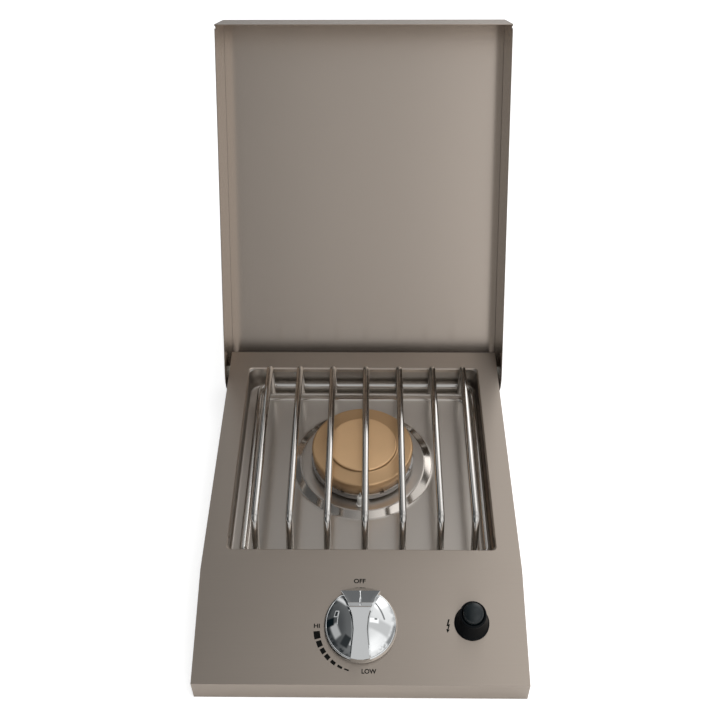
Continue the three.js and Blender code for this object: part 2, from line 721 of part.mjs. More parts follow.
// Pan
const floorX = wallX - LEDGE_WIDTH;
const floorY = wallY - LEDGE_WIDTH;
const panFlangeBottom = panFlangeTop - PAN_SHEET;
const bossCone = (inset, low, high) => turned([[0, low], [bossBaseRadius - inset, low],
  [bossTopRadius - inset, high], [0, high]], 0, burnerY, 32);
const panScrewHole = (x, y0, y1) => barY(screwHole, y0, y1, x, panScrewZ, 12);
const panBackOuter = openMidY + wallY + PAN_SHEET;
const panFrontOuter = openMidY - wallY - PAN_SHEET;
const panSolid = join(
  roundBlock(wallX + PAN_SHEET, wallY + PAN_SHEET, wallCorner + PAN_SHEET, 0, openMidY,
    ledgeZ - PAN_SHEET, panFlangeBottom + PAN_SHEET / 2),
  roundBlock(wallX + PAN_FLANGE, wallY + PAN_FLANGE, wallCorner + PAN_FLANGE, 0, openMidY,
    panFlangeBottom, panFlangeTop),
  roundBlock(floorX + PAN_SHEET, floorY + PAN_SHEET, FLOOR_CORNER + PAN_SHEET, 0, openMidY,
    floorZ - PAN_SHEET, ledgeZ - PAN_SHEET / 2));
const panHollow = join(
  roundBlock(wallX, wallY, wallCorner, 0, openMidY, ledgeZ, panFlangeTop + OVERRUN),
  roundBlock(floorX, floorY, FLOOR_CORNER, 0, openMidY, floorZ, ledgeZ + OVERRUN));
const pan = cut(join(cut(panSolid, panHollow), bossCone(0, floorZ - PAN_SHEET / 2, bossTop)),
  bossCone(PAN_SHEET, floorZ - PAN_SHEET - GAP, bossTop - PAN_SHEET),
  barZ(NECK_RADIUS + PAN_SHEET, floorZ - OVERRUN, bossTop + OVERRUN, 0, burnerY, 32),
  barZ(CERAMIC_RADIUS + GAP, floorZ - OVERRUN, bossTop + OVERRUN, ELECTRODE_X, electrodeY, 16),
  barZ(screwHole, floorZ - OVERRUN, bossTop + OVERRUN, ELECTRODE_X + CLIP_SCREW_X, electrodeY + CLIP_SCREW_Y, 12),
  panScrewHole(-PAN_SCREW_X, panBackOuter - OVERRUN * 2, panBackOuter + OVERRUN),
  panScrewHole(PAN_SCREW_X, panFrontOuter - OVERRUN, panFrontOuter + OVERRUN * 2));
add(root, 'burner_pan', pan, polished());

// Clips welded under the deck, and the screws that hold the pan to them
function panClip(face, away) {
  const inner = face + away * GAP;
  const outer = inner + away * PAN_CLIP_SHEET;
  const reach = face + away * (PAN_FLANGE + PAN_CLIP_SHEET + GAP);
  const end = reach + away * PAN_CLIP_SHEET;
  const shelf = panFlangeBottom - GAP;
  const roof = DECK_HEIGHT - DECK_SHEET - GAP;
  const outline = [[inner, panScrewZ - PAN_CLIP_DROP / 2], [outer, panScrewZ - PAN_CLIP_DROP / 2],
    [outer, shelf - PAN_CLIP_SHEET], [end, shelf - PAN_CLIP_SHEET], [end, roof], [reach, roof],
    [reach, shelf], [inner, shelf]];
  return away > 0 ? outline : outline.reverse();
}

const panScrews = [
  ['rear', -PAN_SCREW_X, panBackOuter, 1],
  ['front', PAN_SCREW_X, panFrontOuter, -1],
];
const panScrewLength = PAN_SHEET + GAP + GAP + PAN_CLIP_SHEET + SCREW_TAIL;
for (const [place, x, face, away] of panScrews) {
  const clip = alongX(panClip(face, away), x - PAN_CLIP_WIDTH / 2, x + PAN_CLIP_WIDTH / 2);
  add(root, `pan_clip_${place}`, cut(clip, barY(screwHole, face - PAN_FLANGE, face + PAN_FLANGE, x, panScrewZ, 12)),
    stainless());
  const fixing = add(root, `pan_screw_${place}`, screw(panScrewLength, PAN_SCREW_HEAD_RADIUS), plated());
  fixing.position.set(x, face - away * (PAN_SHEET + GAP), panScrewZ);
  fixing.rotation.x = away * Math.PI / 2;
}

// Burner head with its ring of ports, and the brass cap on it
const headSeatZ = bossTop + GAP;
const ports = [];
for (let i = 0; i < PORT_COUNT; i += 1) {
  const port = block(portWallInner - OVERRUN, HEAD_RADIUS + OVERRUN, -PORT_WIDTH / 2, PORT_WIDTH / 2,
    ringTop - PORT_DEPTH, ringTop + GAP / 2);
  ports.push(port.rotateZ(2 * Math.PI * (i + 0.5) / PORT_COUNT).translate(0, burnerY, 0));
}
const lugHalf = Math.sqrt(HEAD_RADIUS ** 2 - LUG_FORWARD ** 2);
const lugs = [-1, 1].map((side) => barZ(LUG_RADIUS, ringTop - LUG_HEIGHT, ringTop,
  side * lugHalf, burnerY - LUG_FORWARD, 10));
const headScrewHoles = [-1, 1].map((side) => barZ(screwHole, neckBottom - OVERRUN, bowlNeckZ - SCREW_TAIL,
  side * venturiScrewRadius, burnerY, 12));
add(root, 'burner_head', cut(join(turned([[NECK_BORE, neckBottom], [NECK_RADIUS, neckBottom],
  [NECK_RADIUS, headSeatZ], [HEAD_SEAT_RADIUS, headSeatZ], [HEAD_RADIUS, ringBottom],
  [HEAD_RADIUS, ringTop], [PORT_WALL_OUTER, ringTop], [PORT_WALL_OUTER, portWallTop],
  [portWallInner, portWallTop], [portWallInner, bowlRimZ], [NECK_BORE, bowlNeckZ]], 0, burnerY, 32),
...lugs), ...ports, ...headScrewHoles), casting());

add(root, 'burner_cap', turned([[0, capCeiling], [capBore, capCeiling], [capBore, capFootZ],
  [capFootRadius, capFootZ], [capRadius, capRimZ - CAP_BEVEL], [capRadius - CAP_BEVEL, capRimZ],
  [CAP_DISC_RADIUS + CAP_DISC_BEVEL, capRimZ], [CAP_DISC_RADIUS, capRimZ + CAP_DISC_HEIGHT],
  [0, capRimZ + CAP_DISC_HEIGHT]], 0, burnerY, 32), brass());

// Venturi, its screws and its air shutter
const gasPoint = slopePoint(0, -valveDown, gasOut);
const venturiFront = gasPoint.y + VENTURI_START;
const venturiTop = neckBottom - GAP;
const venturiWindow = block(-shutterRadius - OVERRUN, shutterRadius + OVERRUN,
  venturiFront + WINDOW_START, venturiFront + WINDOW_START + WINDOW_LENGTH,
  gasPoint.z - WINDOW_HEIGHT / 2, gasPoint.z + WINDOW_HEIGHT / 2);
add(root, 'venturi_tube', cut(join(
  barY(VENTURI_RADIUS, venturiFront, burnerY, 0, gasPoint.z, 16),
  barZ(bowlRadius, gasPoint.z - BOWL_DROP, venturiTop, 0, burnerY, 24),
  barZ(venturiFlangeRadius, venturiTop - VENTURI_FLANGE, venturiTop, 0, burnerY, 24)),
barY(venturiBore, venturiFront - OVERRUN, burnerY, 0, gasPoint.z, 16),
barZ(NECK_BORE, gasPoint.z - BOWL_DROP + bowlRadius - NECK_BORE, venturiTop + OVERRUN, 0, burnerY, 24),
venturiWindow,
...[-1, 1].map((side) => barZ(screwHole, venturiTop - VENTURI_FLANGE - OVERRUN, venturiTop + OVERRUN,
  side * venturiScrewRadius, burnerY, 12))), casting());

for (const [place, side] of [['left', -1], ['right', 1]]) {
  const fixing = add(root, `venturi_screw_${place}`, screw(VENTURI_FLANGE + GAP + OVERRUN * 3), plated());
  fixing.position.set(side * venturiScrewRadius, burnerY, venturiTop - VENTURI_FLANGE - GAP);
  fixing.rotation.x = Math.PI;
}

const shutterFront = venturiFront + SHUTTER_START;
add(root, 'air_shutter', cut(barY(shutterRadius, shutterFront, shutterFront + SHUTTER_LENGTH, 0, gasPoint.z, 16),
  barY(VENTURI_RADIUS + GAP, shutterFront - OVERRUN, shutterFront + SHUTTER_LENGTH + OVERRUN, 0, gasPoint.z, 16),
  venturiWindow), stainless());

// Valve: body, rotor, stem and spring, hung from a bracket screwed under the slope
const footTop = -DECK_SHEET - GAP;
const footBottom = footTop - BRACKET_WALL;
const bracketOutline = [[-BRACKET_FOOT, footTop], [-BRACKET_FOOT, footBottom], [-BRACKET_HALF, footBottom],
  [-BRACKET_HALF, plateBottom], [BRACKET_HALF, plateBottom], [BRACKET_HALF, footBottom],
  [BRACKET_FOOT, footBottom], [BRACKET_FOOT, footTop], [BRACKET_HALF - BRACKET_WALL, footTop],
  [BRACKET_HALF - BRACKET_WALL, plateTop], [-BRACKET_HALF + BRACKET_WALL, plateTop],
  [-BRACKET_HALF + BRACKET_WALL, footTop]];
add(panel, 'valve_bracket', cut(
  alongY(bracketOutline, -valveDown - BRACKET_LENGTH / 2, -valveDown + BRACKET_LENGTH / 2),
  barZ(stemHole, plateBottom - OVERRUN, plateTop + OVERRUN, 0, -valveDown),
  ...[-1, 1].map((side) => barZ(screwHole, footBottom - OVERRUN, footTop + OVERRUN,
    side * BRACKET_SCREW_X, -valveDown, 12)),
  ...[-1, 1].map((side) => barZ(screwHole, plateBottom - OVERRUN, plateTop + OVERRUN,
    side * VALVE_SCREW_X, -valveDown, 12))), stainless());

for (const [place, side] of [['left', -1], ['right', 1]]) {
  const top = add(panel, `bracket_screw_${place}`, screw(DECK_SHEET + GAP * 2 + BRACKET_WALL + SCREW_TAIL), plated());
  top.position.set(side * BRACKET_SCREW_X, -valveDown, GAP);
  const low = add(panel, `valve_screw_${place}`, screw(BRACKET_SHEET + GAP + VALVE_EAR_HEIGHT - SCREW_TAIL,
    SCREW_HEAD_RADIUS * 0.8), plated());
  low.position.set(side * VALVE_SCREW_X, -valveDown, plateTop + GAP);
}

const valveBottom = rotorBottom - GAP - VALVE_FLOOR;
const valvePocket = barZ(ROTOR_RADIUS + GAP, rotorBottom - GAP, bodyTop + OVERRUN, 0, -valveDown, 16);
add(root, 'valve_body', cut(join(
  onSlope(barZ(valveRadius, valveBottom, bodyTop, 0, -valveDown, 16)),
  onSlope(block(-VALVE_EAR, VALVE_EAR, -valveDown - VALVE_EAR_LENGTH / 2, -valveDown + VALVE_EAR_LENGTH / 2,
    bodyTop - VALVE_EAR_HEIGHT, bodyTop)),
  barY(pipeRadius, gasPoint.y, gasPoint.y + OUTLET_REACH, 0, gasPoint.z),
  barX(pipeRadius, -INLET_REACH, 0, gasPoint.y, gasPoint.z)),
onSlope(valvePocket),
barY(GAS_BORE, gasPoint.y, gasPoint.y + OUTLET_REACH + OVERRUN, 0, gasPoint.z, 16),
barX(GAS_BORE, -INLET_REACH - OVERRUN, 0, gasPoint.y, gasPoint.z, 16),
...[-1, 1].map((side) => onSlope(barZ(screwHole, bodyTop - VALVE_EAR_HEIGHT - OVERRUN, bodyTop + OVERRUN,
  side * VALVE_SCREW_X, -valveDown, 12)))), brass());

const slot = TONGUE_THICK / 2 + GAP;
const slotHalf = TONGUE_WIDTH / 2 + GAP;
add(panel, 'valve_rotor', cut(barZ(ROTOR_RADIUS, rotorBottom, rotorTop, 0, -valveDown, 16),
  block(-slotHalf, slotHalf, -valveDown - slot, -valveDown + slot,
    rotorTop - TONGUE_DEPTH - PUSH_TRAVEL - FIT, rotorTop + OVERRUN),
  barY(ROTOR_PORT, -valveDown - ROTOR_RADIUS - OVERRUN, -valveDown + ROTOR_RADIUS + OVERRUN, 0, gasOut, 12)),
brass());

const stemFoot = rotorTop + PUSH_TRAVEL + GAP;
const stemFlatCut = block(-STEM_RADIUS - OVERRUN, STEM_RADIUS + OVERRUN,
  -valveDown + STEM_RADIUS - STEM_FLAT, -valveDown + STEM_RADIUS + OVERRUN, KNOB_CLEAR, STEM_TOP + OVERRUN);
add(panel, 'valve_stem', cut(join(
  barZ(STEM_RADIUS, stemFoot, STEM_TOP, 0, -valveDown),
  barZ(stemCollarRadius, collarBottom, collarTop, 0, -valveDown, 24),
  block(-TONGUE_WIDTH / 2, TONGUE_WIDTH / 2, -valveDown - TONGUE_THICK / 2, -valveDown + TONGUE_THICK / 2,
    rotorTop - TONGUE_DEPTH, stemFoot + OVERRUN)), stemFlatCut), plated());

add(panel, 'valve_spring', coil(SPRING_RADIUS, SPRING_WIRE, rotorTop + GAP, collarBottom - GAP, SPRING_TURNS)
  .translate(0, -valveDown, 0), plated());

// Gas orifice screwed into the valve's outlet, pointing into the venturi
const spudFace = gasPoint.y + OUTLET_REACH + GAP;
const spudEnd = spudFace + SPUD_HEAD + SPUD_NOSE;
const orifice = turned([[SPUD_BORE, -SPUD_SHANK], [GAS_BORE - GAP, -SPUD_SHANK], [GAS_BORE - GAP, 0],
  [SPUD_HEAD_RADIUS, 0], [SPUD_HEAD_RADIUS, SPUD_HEAD], [SPUD_NOSE_RADIUS, spudEnd - spudFace],
  [SPUD_BORE, spudEnd - spudFace]], 0, 0, 16);
const spud = add(root, 'gas_orifice', orifice, brass());
spud.position.set(0, spudFace, gasPoint.z);
spud.rotation.x = -Math.PI / 2;

// Gas supply tube with its nut at the valve and its fitting outside the housing
const supplyStart = -INLET_REACH - GAP;
const supplyRoute = roundedRoute([
  new THREE.Vector3(supplyStart, gasPoint.y, gasPoint.z),
  new THREE.Vector3(SUPPLY_X, gasPoint.y, gasPoint.z),
  new THREE.Vector3(SUPPLY_X, gasPoint.y, supplyZ),
  new THREE.Vector3(SUPPLY_X, supplyEnd, supplyZ)], SUPPLY_BEND, 4);
add(root, 'gas_inlet_tube', rodAlong(supplyRoute, SUPPLY_RADIUS, supplyBore, 8), brass());
add(root, 'inlet_nut', cut(barX(nutRadius, supplyStart - NUT_LENGTH, supplyStart, gasPoint.y, gasPoint.z, 6),
  barX(SUPPLY_RADIUS + GAP, supplyStart - NUT_LENGTH - OVERRUN, supplyStart + OVERRUN, gasPoint.y, gasPoint.z, 16)),
brass());
const fittingFace = boxHalfY + GAP;
add(root, 'inlet_fitting', cut(barY(fittingRadius, fittingFace, fittingFace + FITTING_LENGTH, SUPPLY_X, supplyZ, 6),
  barY(SUPPLY_RADIUS + GAP, fittingFace - OVERRUN, fittingFace + FITTING_LENGTH + OVERRUN, SUPPLY_X, supplyZ, 16)),
brass());

// Spark electrode, its bracket under the boss and its lead
add(root, 'electrode_ceramic', turned([[0, ceramicBottom], [CERAMIC_RADIUS, ceramicBottom],
  [CERAMIC_RADIUS, bossTop + GAP], [CERAMIC_COLLAR, bossTop + GAP],
  [CERAMIC_COLLAR, bossTop + GAP + CERAMIC_COLLAR_HEIGHT], [CERAMIC_RADIUS, bossTop + GAP + CERAMIC_COLLAR_HEIGHT],
  [CERAMIC_RADIUS, ceramicTop - TIP_RADIUS], [CERAMIC_RADIUS - TIP_RADIUS, ceramicTop], [0, ceramicTop]],
ELECTRODE_X, electrodeY, 14), ceramic());
const tipZ = ceramicTop + GAP;
add(root, 'electrode_tip', rodAlong(roundedRoute([
  new THREE.Vector3(ELECTRODE_X, electrodeY, tipZ),
  new THREE.Vector3(ELECTRODE_X, electrodeY, tipZ + TIP_RISE),
  new THREE.Vector3(ELECTRODE_X, electrodeY + TIP_REACH, tipZ + TIP_RISE)], TIP_RADIUS, 2), TIP_RADIUS, 0, 8), plated());
const clipTop = bossTop - PAN_SHEET - GAP;
add(root, 'electrode_bracket', cut(block(ELECTRODE_X - CLIP_LEFT, ELECTRODE_X + CLIP_RIGHT,
  electrodeY - CLIP_FRONT, electrodeY + CLIP_BACK, clipTop - CLIP_SHEET, clipTop),
barZ(CERAMIC_RADIUS + GAP, clipTop - CLIP_SHEET - OVERRUN, clipTop + OVERRUN, ELECTRODE_X, electrodeY, 16),
barZ(screwHole, clipTop - CLIP_SHEET - OVERRUN, clipTop + OVERRUN,
  ELECTRODE_X + CLIP_SCREW_X, electrodeY + CLIP_SCREW_Y, 12)), stainless());
const clipScrew = add(root, 'electrode_screw', screw(PAN_SHEET + GAP * 2 + CLIP_SHEET + SCREW_TAIL,
  SCREW_HEAD_RADIUS * 0.8, SCREW_HEAD * 0.7), plated());
clipScrew.position.set(ELECTRODE_X + CLIP_SCREW_X, electrodeY + CLIP_SCREW_Y, bossTop + GAP);

// Knob: a skirt with a waisted grip that rises towards the pointer
const knobTop = KNOB_HEIGHT;
const skirtTop = KNOB_CLEAR + KNOB_SKIRT;
const gripHalf = [[-KNOB_RADIUS, KNOB_TAIL_HALF], [-knobCrest, (KNOB_WAIST_HALF + KNOB_TAIL_HALF) / 2],
  [-knobCrest / 3, KNOB_WAIST_HALF], [knobCrest / 4, KNOB_WAIST_HALF],
  [knobCrest * 0.65, (KNOB_WAIST_HALF + KNOB_CREST_HALF) / 2], [knobCrest, KNOB_CREST_HALF],
  [knobFacetBack, knobBackHalf]];
const gripShape = new THREE.Shape([
  ...gripHalf.map(([y, x]) => new THREE.Vector2(x, y)),
  ...gripHalf.slice().reverse().map(([y, x]) => new THREE.Vector2(-x, y))]);
const grip = new THREE.ExtrudeGeometry(gripShape, { depth: knobTop - KNOB_CLEAR, bevelEnabled: false })
  .translate(0, 0, KNOB_CLEAR);
const gripSide = alongX([[knobFacetBack, KNOB_CLEAR], [knobFacetBack, skirtTop - KNOB_DISH],
  [knobCrest + KNOB_STEP, knobTop - KNOB_STEP], [knobCrest, knobTop], [knobCrest - KNOB_STEP, knobTop],
  [-KNOB_RADIUS, KNOB_TAIL_HEIGHT], [-KNOB_RADIUS, KNOB_CLEAR]], -KNOB_RADIUS, KNOB_RADIUS);
const roundLimit = barZ(KNOB_RADIUS, KNOB_CLEAR, knobTop + OVERRUN, 0, 0, 36);
const gripSolid = solidOf(grip).intersect(solidOf(gripSide)).intersect(solidOf(roundLimit));
const skirt = turned([[0, KNOB_CLEAR], [KNOB_RADIUS, KNOB_CLEAR], [KNOB_RADIUS, skirtTop - KNOB_DISH / 2],
  [knobRim, skirtTop], [knobRim * 0.75, skirtTop - KNOB_DISH], [0, skirtTop - KNOB_DISH]], 0, 0, 36);
const knobHollow = cut(barZ(knobHollowRadius, KNOB_CLEAR - OVERRUN, KNOB_HOLLOW_TOP, 0, 0, 36),
  barZ(KNOB_HUB_RADIUS, KNOB_CLEAR - OVERRUN * 2, KNOB_HOLLOW_TOP + OVERRUN, 0, 0, 24));
const knobBore = cut(barZ(STEM_RADIUS + GAP, KNOB_CLEAR - OVERRUN, STEM_TOP + GAP, 0, 0),
  block(-STEM_RADIUS - OVERRUN, STEM_RADIUS + OVERRUN, STEM_RADIUS - STEM_FLAT + GAP,
    STEM_RADIUS + OVERRUN, KNOB_CLEAR - OVERRUN * 2, STEM_TOP + OVERRUN));
const facetSlope = Math.atan2(knobTop - skirtTop, knobFacetBack - knobCrest);
const pointer = block(-POINTER_WIDTH / 2, POINTER_WIDTH / 2, -OVERRUN * 2,
  Math.hypot(knobTop - skirtTop, knobFacetBack - knobCrest) - OVERRUN, -POINTER_DEPTH, OVERRUN)
  .rotateX(-facetSlope).translate(0, knobCrest, knobTop);
add(panel, 'knob', cut(join(skirt, gripSolid), knobHollow, knobBore, pointer)
  .translate([0, -valveDown, 0]), chrome());

// Igniter: collar, button, spring, lock nut and spark module, all on the same leaning axis
add(panel, 'igniter_collar', lean(geometryOf(cut(turned([[0, -BARREL_LENGTH], [barrelRadius, -BARREL_LENGTH],
  [barrelRadius, GAP], [collarFlangeRadius, GAP], [collarFlangeRadius, COLLAR_FLANGE],
  [collarFootRadius, COLLAR_FLANGE], [collarTopRadius, COLLAR_TOP - COLLAR_LIP],
  [collarTopRadius, COLLAR_TOP], [0, COLLAR_TOP]], 0, 0, 28),
barZ(collarBore, COLLAR_TOP - BUTTON_SKIRT - BUTTON_TRAVEL - FIT, COLLAR_TOP + OVERRUN, 0, 0, 20),
barZ(barrelBore, -BARREL_LENGTH - OVERRUN, COLLAR_TOP, 0, 0, 20)))), black());
const buttonFoot = COLLAR_TOP - BUTTON_SKIRT;
const buttonEdge = COLLAR_TOP + BUTTON_PROUD;
add(panel, 'igniter_button', lean(turned([[0, BUTTON_STEM_END], [BUTTON_STEM, BUTTON_STEM_END],
  [BUTTON_STEM, buttonFoot], [BUTTON_RADIUS, buttonFoot], [BUTTON_RADIUS, buttonEdge],
  [BUTTON_RADIUS * 0.86, buttonEdge + BUTTON_DOME * 0.5], [BUTTON_RADIUS * 0.5, buttonEdge + BUTTON_DOME * 0.88],
  [0, buttonEdge + BUTTON_DOME]], 0, 0, 20)), black());
const moduleTop = MODULE_TOP;
const moduleBottom = moduleTop - MODULE_LENGTH;
add(panel, 'igniter_spring', lean(coil(BUTTON_SPRING_RADIUS, SPRING_WIRE, moduleTop + GAP, buttonFoot - GAP,
  BUTTON_SPRING_TURNS)), plated());
add(panel, 'igniter_nut', lean(geometryOf(cut(
  barZ(igniterNutRadius, -DECK_SHEET - GAP - IGNITER_NUT, -DECK_SHEET - GAP, 0, 0, 6),
  barZ(barrelRadius + GAP, -DECK_SHEET - IGNITER_NUT - OVERRUN, OVERRUN, 0, 0, 28)))), plated());
add(panel, 'igniter_module', lean(geometryOf(cut(barZ(moduleRadius, moduleBottom, moduleTop, 0, 0, 24),
  barZ(BUTTON_STEM + GAP, moduleTop - MODULE_CUP, moduleTop + OVERRUN, 0, 0, 16)))), black());

const wireGap = GAP + WIRE_RADIUS * Math.tan(slopeAngle);
const moduleFoot = new THREE.Vector3(0, 0, moduleBottom - wireGap).applyMatrix4(leanMatrix)
  .applyMatrix4(panel.matrixWorld);
const wireStart = ceramicBottom - GAP;
const wireLevel = wireStart - WIRE_DROP;
add(root, 'ignition_wire', rodAlong(roundedRoute([
  new THREE.Vector3(ELECTRODE_X, electrodeY, wireStart),
  new THREE.Vector3(ELECTRODE_X, electrodeY, wireLevel),
  new THREE.Vector3(WIRE_TURN, electrodeY - WIRE_TURN / 2, wireLevel),
  new THREE.Vector3(moduleFoot.x, moduleFoot.y + WIRE_TURN, moduleFoot.z - WIRE_LOW),
  new THREE.Vector3(moduleFoot.x, moduleFoot.y, moduleFoot.z - WIRE_LOW),
  new THREE.Vector3(moduleFoot.x, moduleFoot.y, moduleFoot.z)], WIRE_BEND * 0.8, 2), WIRE_RADIUS, 0, 6), rubber());

// Housing under the counter, hung on the deck's rim by four screws
const vents = [];
for (let i = 0; i < VENT_COUNT; i += 1) {
  const y = (i - (VENT_COUNT - 1) / 2) * VENT_PITCH;
  for (const row of [0, 1]) {
    const z = -VENT_DROP - row * VENT_ROW;
    vents.push(block(-boxHalfX - OVERRUN, boxHalfX + OVERRUN, y - VENT_LENGTH / 2, y + VENT_LENGTH / 2,
      z - VENT_HEIGHT / 2, z + VENT_HEIGHT / 2));
  }
}
add(root, 'burner_box', cut(join(
  roundBlock(boxHalfX, boxHalfY, BOX_CORNER, 0, 0, -BOX_DROP, flangeTopZ - BOX_SHEET / 2, 3),
  roundBlock(boxHalfX + BOX_FLANGE, boxHalfY + BOX_FLANGE, BOX_CORNER, 0, 0, DECK_SHEET + GAP, flangeTopZ, 3)),
roundBlock(boxHalfX - BOX_SHEET, boxHalfY - BOX_SHEET, BOX_CORNER - BOX_SHEET, 0, 0,
  -BOX_DROP + BOX_SHEET, flangeTopZ + OVERRUN, 3),
...vents, ...boxHoles,
barY(supplyHole, boxHalfY - OVERRUN * 2, boxHalfY + OVERRUN, SUPPLY_X, supplyZ, 16)), stainless());

for (const [place, sx, sy] of boxCorners) {
  const fixing = add(root, `box_screw_${place}`, screw(flangeTopZ + GAP + SCREW_TAIL), plated());
  fixing.position.set(sx * boxScrewX, sy * boxScrewY, flangeTopZ + GAP);
}

// Grate: seven bent bars that stand on the pan's ledge, welded to a rod frame just above it
const footZ = ledgeZ + GAP / 3;
const frameZ = footZ + FRAME_RISE + ROD;
const barZTop = barTop - ROD;
const footY = frontRodY + FRONT_FOOT_STEP;
const footTilt = Math.atan2(frontBendY - footY, barZTop - footZ);
const railLeft = GRATE_X - railOffset;
const railRight = GRATE_X + railOffset;
const frameCorners = [[GRATE_X, rearRodY], [railRight, rearRodY], [railRight, frontRodY],
  [railLeft, frontRodY], [railLeft, rearRodY], [GRATE_X, rearRodY]];
const frameRoute = roundedRoute(frameCorners.map(([x, y]) => new THREE.Vector3(x, y, frameZ)), FRAME_BEND, 4);
const frameHalves = [frameRoute.slice(0, frameRoute.length / 2 + 1), frameRoute.slice(frameRoute.length / 2)];
const barOffsets = BAR_PLACE_SHARES.map((share) => outerBar * share);
add(root, 'grate_frame', join(...frameHalves.map((half) => rodAlong(half, ROD, 0, 8))), polished());
const weldCuts = frameHalves.map((half) => rodAlong(half, ROD + GAP, 0, 8));
barOffsets.forEach((offset, index) => {
  const x = GRATE_X + offset;
  const rear = roundedRoute([
    new THREE.Vector3(x, legY, footZ),
    new THREE.Vector3(x, legY, barZTop),
    new THREE.Vector3(x, openMidY, barZTop)], REAR_BEND, 4);
  const front = roundedRoute([
    new THREE.Vector3(x, openMidY, barZTop),
    new THREE.Vector3(x, frontBendY, barZTop),
    new THREE.Vector3(x, footY, footZ + ROD * Math.sin(footTilt))], FRONT_BEND, 3);
  const bar = rodAlong([...rear.slice(0, -1), ...front.slice(1)], ROD, 0, 8);
  add(root, `grate_bar_${index + 1}`, cut(bar, ...weldCuts), polished());
});

// Lid, drawn closed in its own frame about the pivot and turned open
const lid = new THREE.Group();
lid.position.set(0, lidPivotY, LID_PIVOT_Z);
lid.rotation.x = -LID_OPEN_DEGREES * Math.PI / 180;
root.add(lid);
const edgeZ = lidPanelRise - lidDrop;
const undercut = Math.atan2(LID_UNDERCUT, lidDrop);
const lidOuterShape = [[lidRearReach, lidPanelRise + LID_SHEET],
  [-lidFrontReach - LID_SHEET * Math.tan(Math.PI / 4 - undercut / 2), lidPanelRise + LID_SHEET],
  [-lidFrontReach + LID_UNDERCUT - LID_SHEET / Math.cos(undercut), edgeZ]];
for (let i = 0; i <= 6; i += 1) {
  const angle = -Math.PI / 2 + i * Math.PI / 12;
  lidOuterShape.push([lidRearReach - LID_CORNER + LID_CORNER * Math.cos(angle),
    edgeZ + LID_CORNER + LID_CORNER * Math.sin(angle)]);
}
const lidInnerShape = [[lidRearReach + OVERRUN, lidPanelRise], [-lidFrontReach, lidPanelRise],
  [-lidFrontReach + LID_UNDERCUT + OVERRUN * Math.tan(undercut), edgeZ - OVERRUN],
  [lidRearReach + OVERRUN, edgeZ - OVERRUN]];
const slotFront = -lidFrontReach + LID_UNDERCUT;
const lidSlots = [-1, 1].map((side) => block(
  Math.min(side * (lidHalf - GAP), side * (lidHalf + LID_SHEET + OVERRUN)),
  Math.max(side * (lidHalf - GAP), side * (lidHalf + LID_SHEET + OVERRUN)),
  slotFront + LID_SLOT_INSET, slotFront + LID_SLOT_INSET + LID_SLOT_WIDTH, edgeZ - OVERRUN, edgeZ + LID_SLOT_LENGTH));
add(lid, 'lid_shell', cut(alongX(lidOuterShape, -lidHalf - LID_SHEET, lidHalf + LID_SHEET),
  alongX(lidInnerShape, -lidHalf, lidHalf), ...lidSlots,
  barX(hingeHole, -lidHalf - LID_SHEET - OVERRUN, lidHalf + LID_SHEET + OVERRUN, 0, 0, 20)), stainless());

// Hinge bolts through the lid's flanges, spacers and the deck's sides, with nuts inside
const headFace = lidHalf + LID_SHEET + GAP;
const spacerIn = halfWidth + GAP;
const nutFace = halfWidth - DECK_SHEET - GAP;
for (const [place, side] of [['left', -1], ['right', 1]]) {
  const bolt = add(root, `hinge_bolt_${place}`, turned([[0, nutFace - HINGE_NUT - SCREW_TAIL],
    [HINGE_THREAD, nutFace - HINGE_NUT - SCREW_TAIL], [HINGE_THREAD, spacerIn], [HINGE_SHOULDER, spacerIn],
    [HINGE_SHOULDER, headFace], [HINGE_HEAD_RADIUS, headFace], [HINGE_HEAD_RADIUS, headFace + HINGE_HEAD],
    [0, headFace + HINGE_HEAD]], 0, 0, 14), plated());
  bolt.position.set(0, lidPivotY, LID_PIVOT_Z);
  bolt.rotation.y = side * Math.PI / 2;
  const low = Math.min(side * spacerIn, side * (lidHalf - GAP));
  const high = Math.max(side * spacerIn, side * (lidHalf - GAP));
  add(root, `hinge_spacer_${place}`, cut(barX(SPACER_RADIUS, low, high, lidPivotY, LID_PIVOT_Z, 16),
    barX(HINGE_SHOULDER + GAP, low - OVERRUN, high + OVERRUN, lidPivotY, LID_PIVOT_Z, 16)), nylon());
  const nutLow = Math.min(side * nutFace, side * (nutFace - HINGE_NUT));
  const nutHigh = Math.max(side * nutFace, side * (nutFace - HINGE_NUT));
  add(root, `hinge_nut_${place}`, cut(barX(HINGE_NUT_RADIUS, nutLow, nutHigh, lidPivotY, LID_PIVOT_Z, 6),
    barX(HINGE_THREAD + GAP, nutLow - OVERRUN, nutHigh + OVERRUN, lidPivotY, LID_PIVOT_Z, 16)), plated());
  // Rests for the open lid on the back wall, stops for the closed lid on the side walls
  add(root, `lid_rest_${place}`, block(side * REST_X - REST_WIDTH / 2, side * REST_X + REST_WIDTH / 2,
    backY, backY + REST_THICK, REST_Z, REST_Z + REST_HEIGHT), rubber());
  const stopOut = lidHalf + LID_SHEET + GAP + STOP_PAST;
  const stopIn = halfWidth - DECK_SHEET - SCREW_TAIL;
  const stop = add(root, `lid_stop_${place}`, turned([[0, stopIn], [STOP_PIN, stopIn], [STOP_PIN, halfWidth + GAP],
    [STOP_RADIUS, halfWidth + GAP], [STOP_RADIUS, stopOut], [0, stopOut]], 0, 0, 16), rubber());
  stop.position.set(0, STOP_Y, stopZ);
  stop.rotation.y = side * Math.PI / 2;
}

root.updateMatrixWorld(true);
export default root;
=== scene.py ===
import json
import math

import bmesh
import bpy
import numpy as np
from mathutils import Matrix, Vector


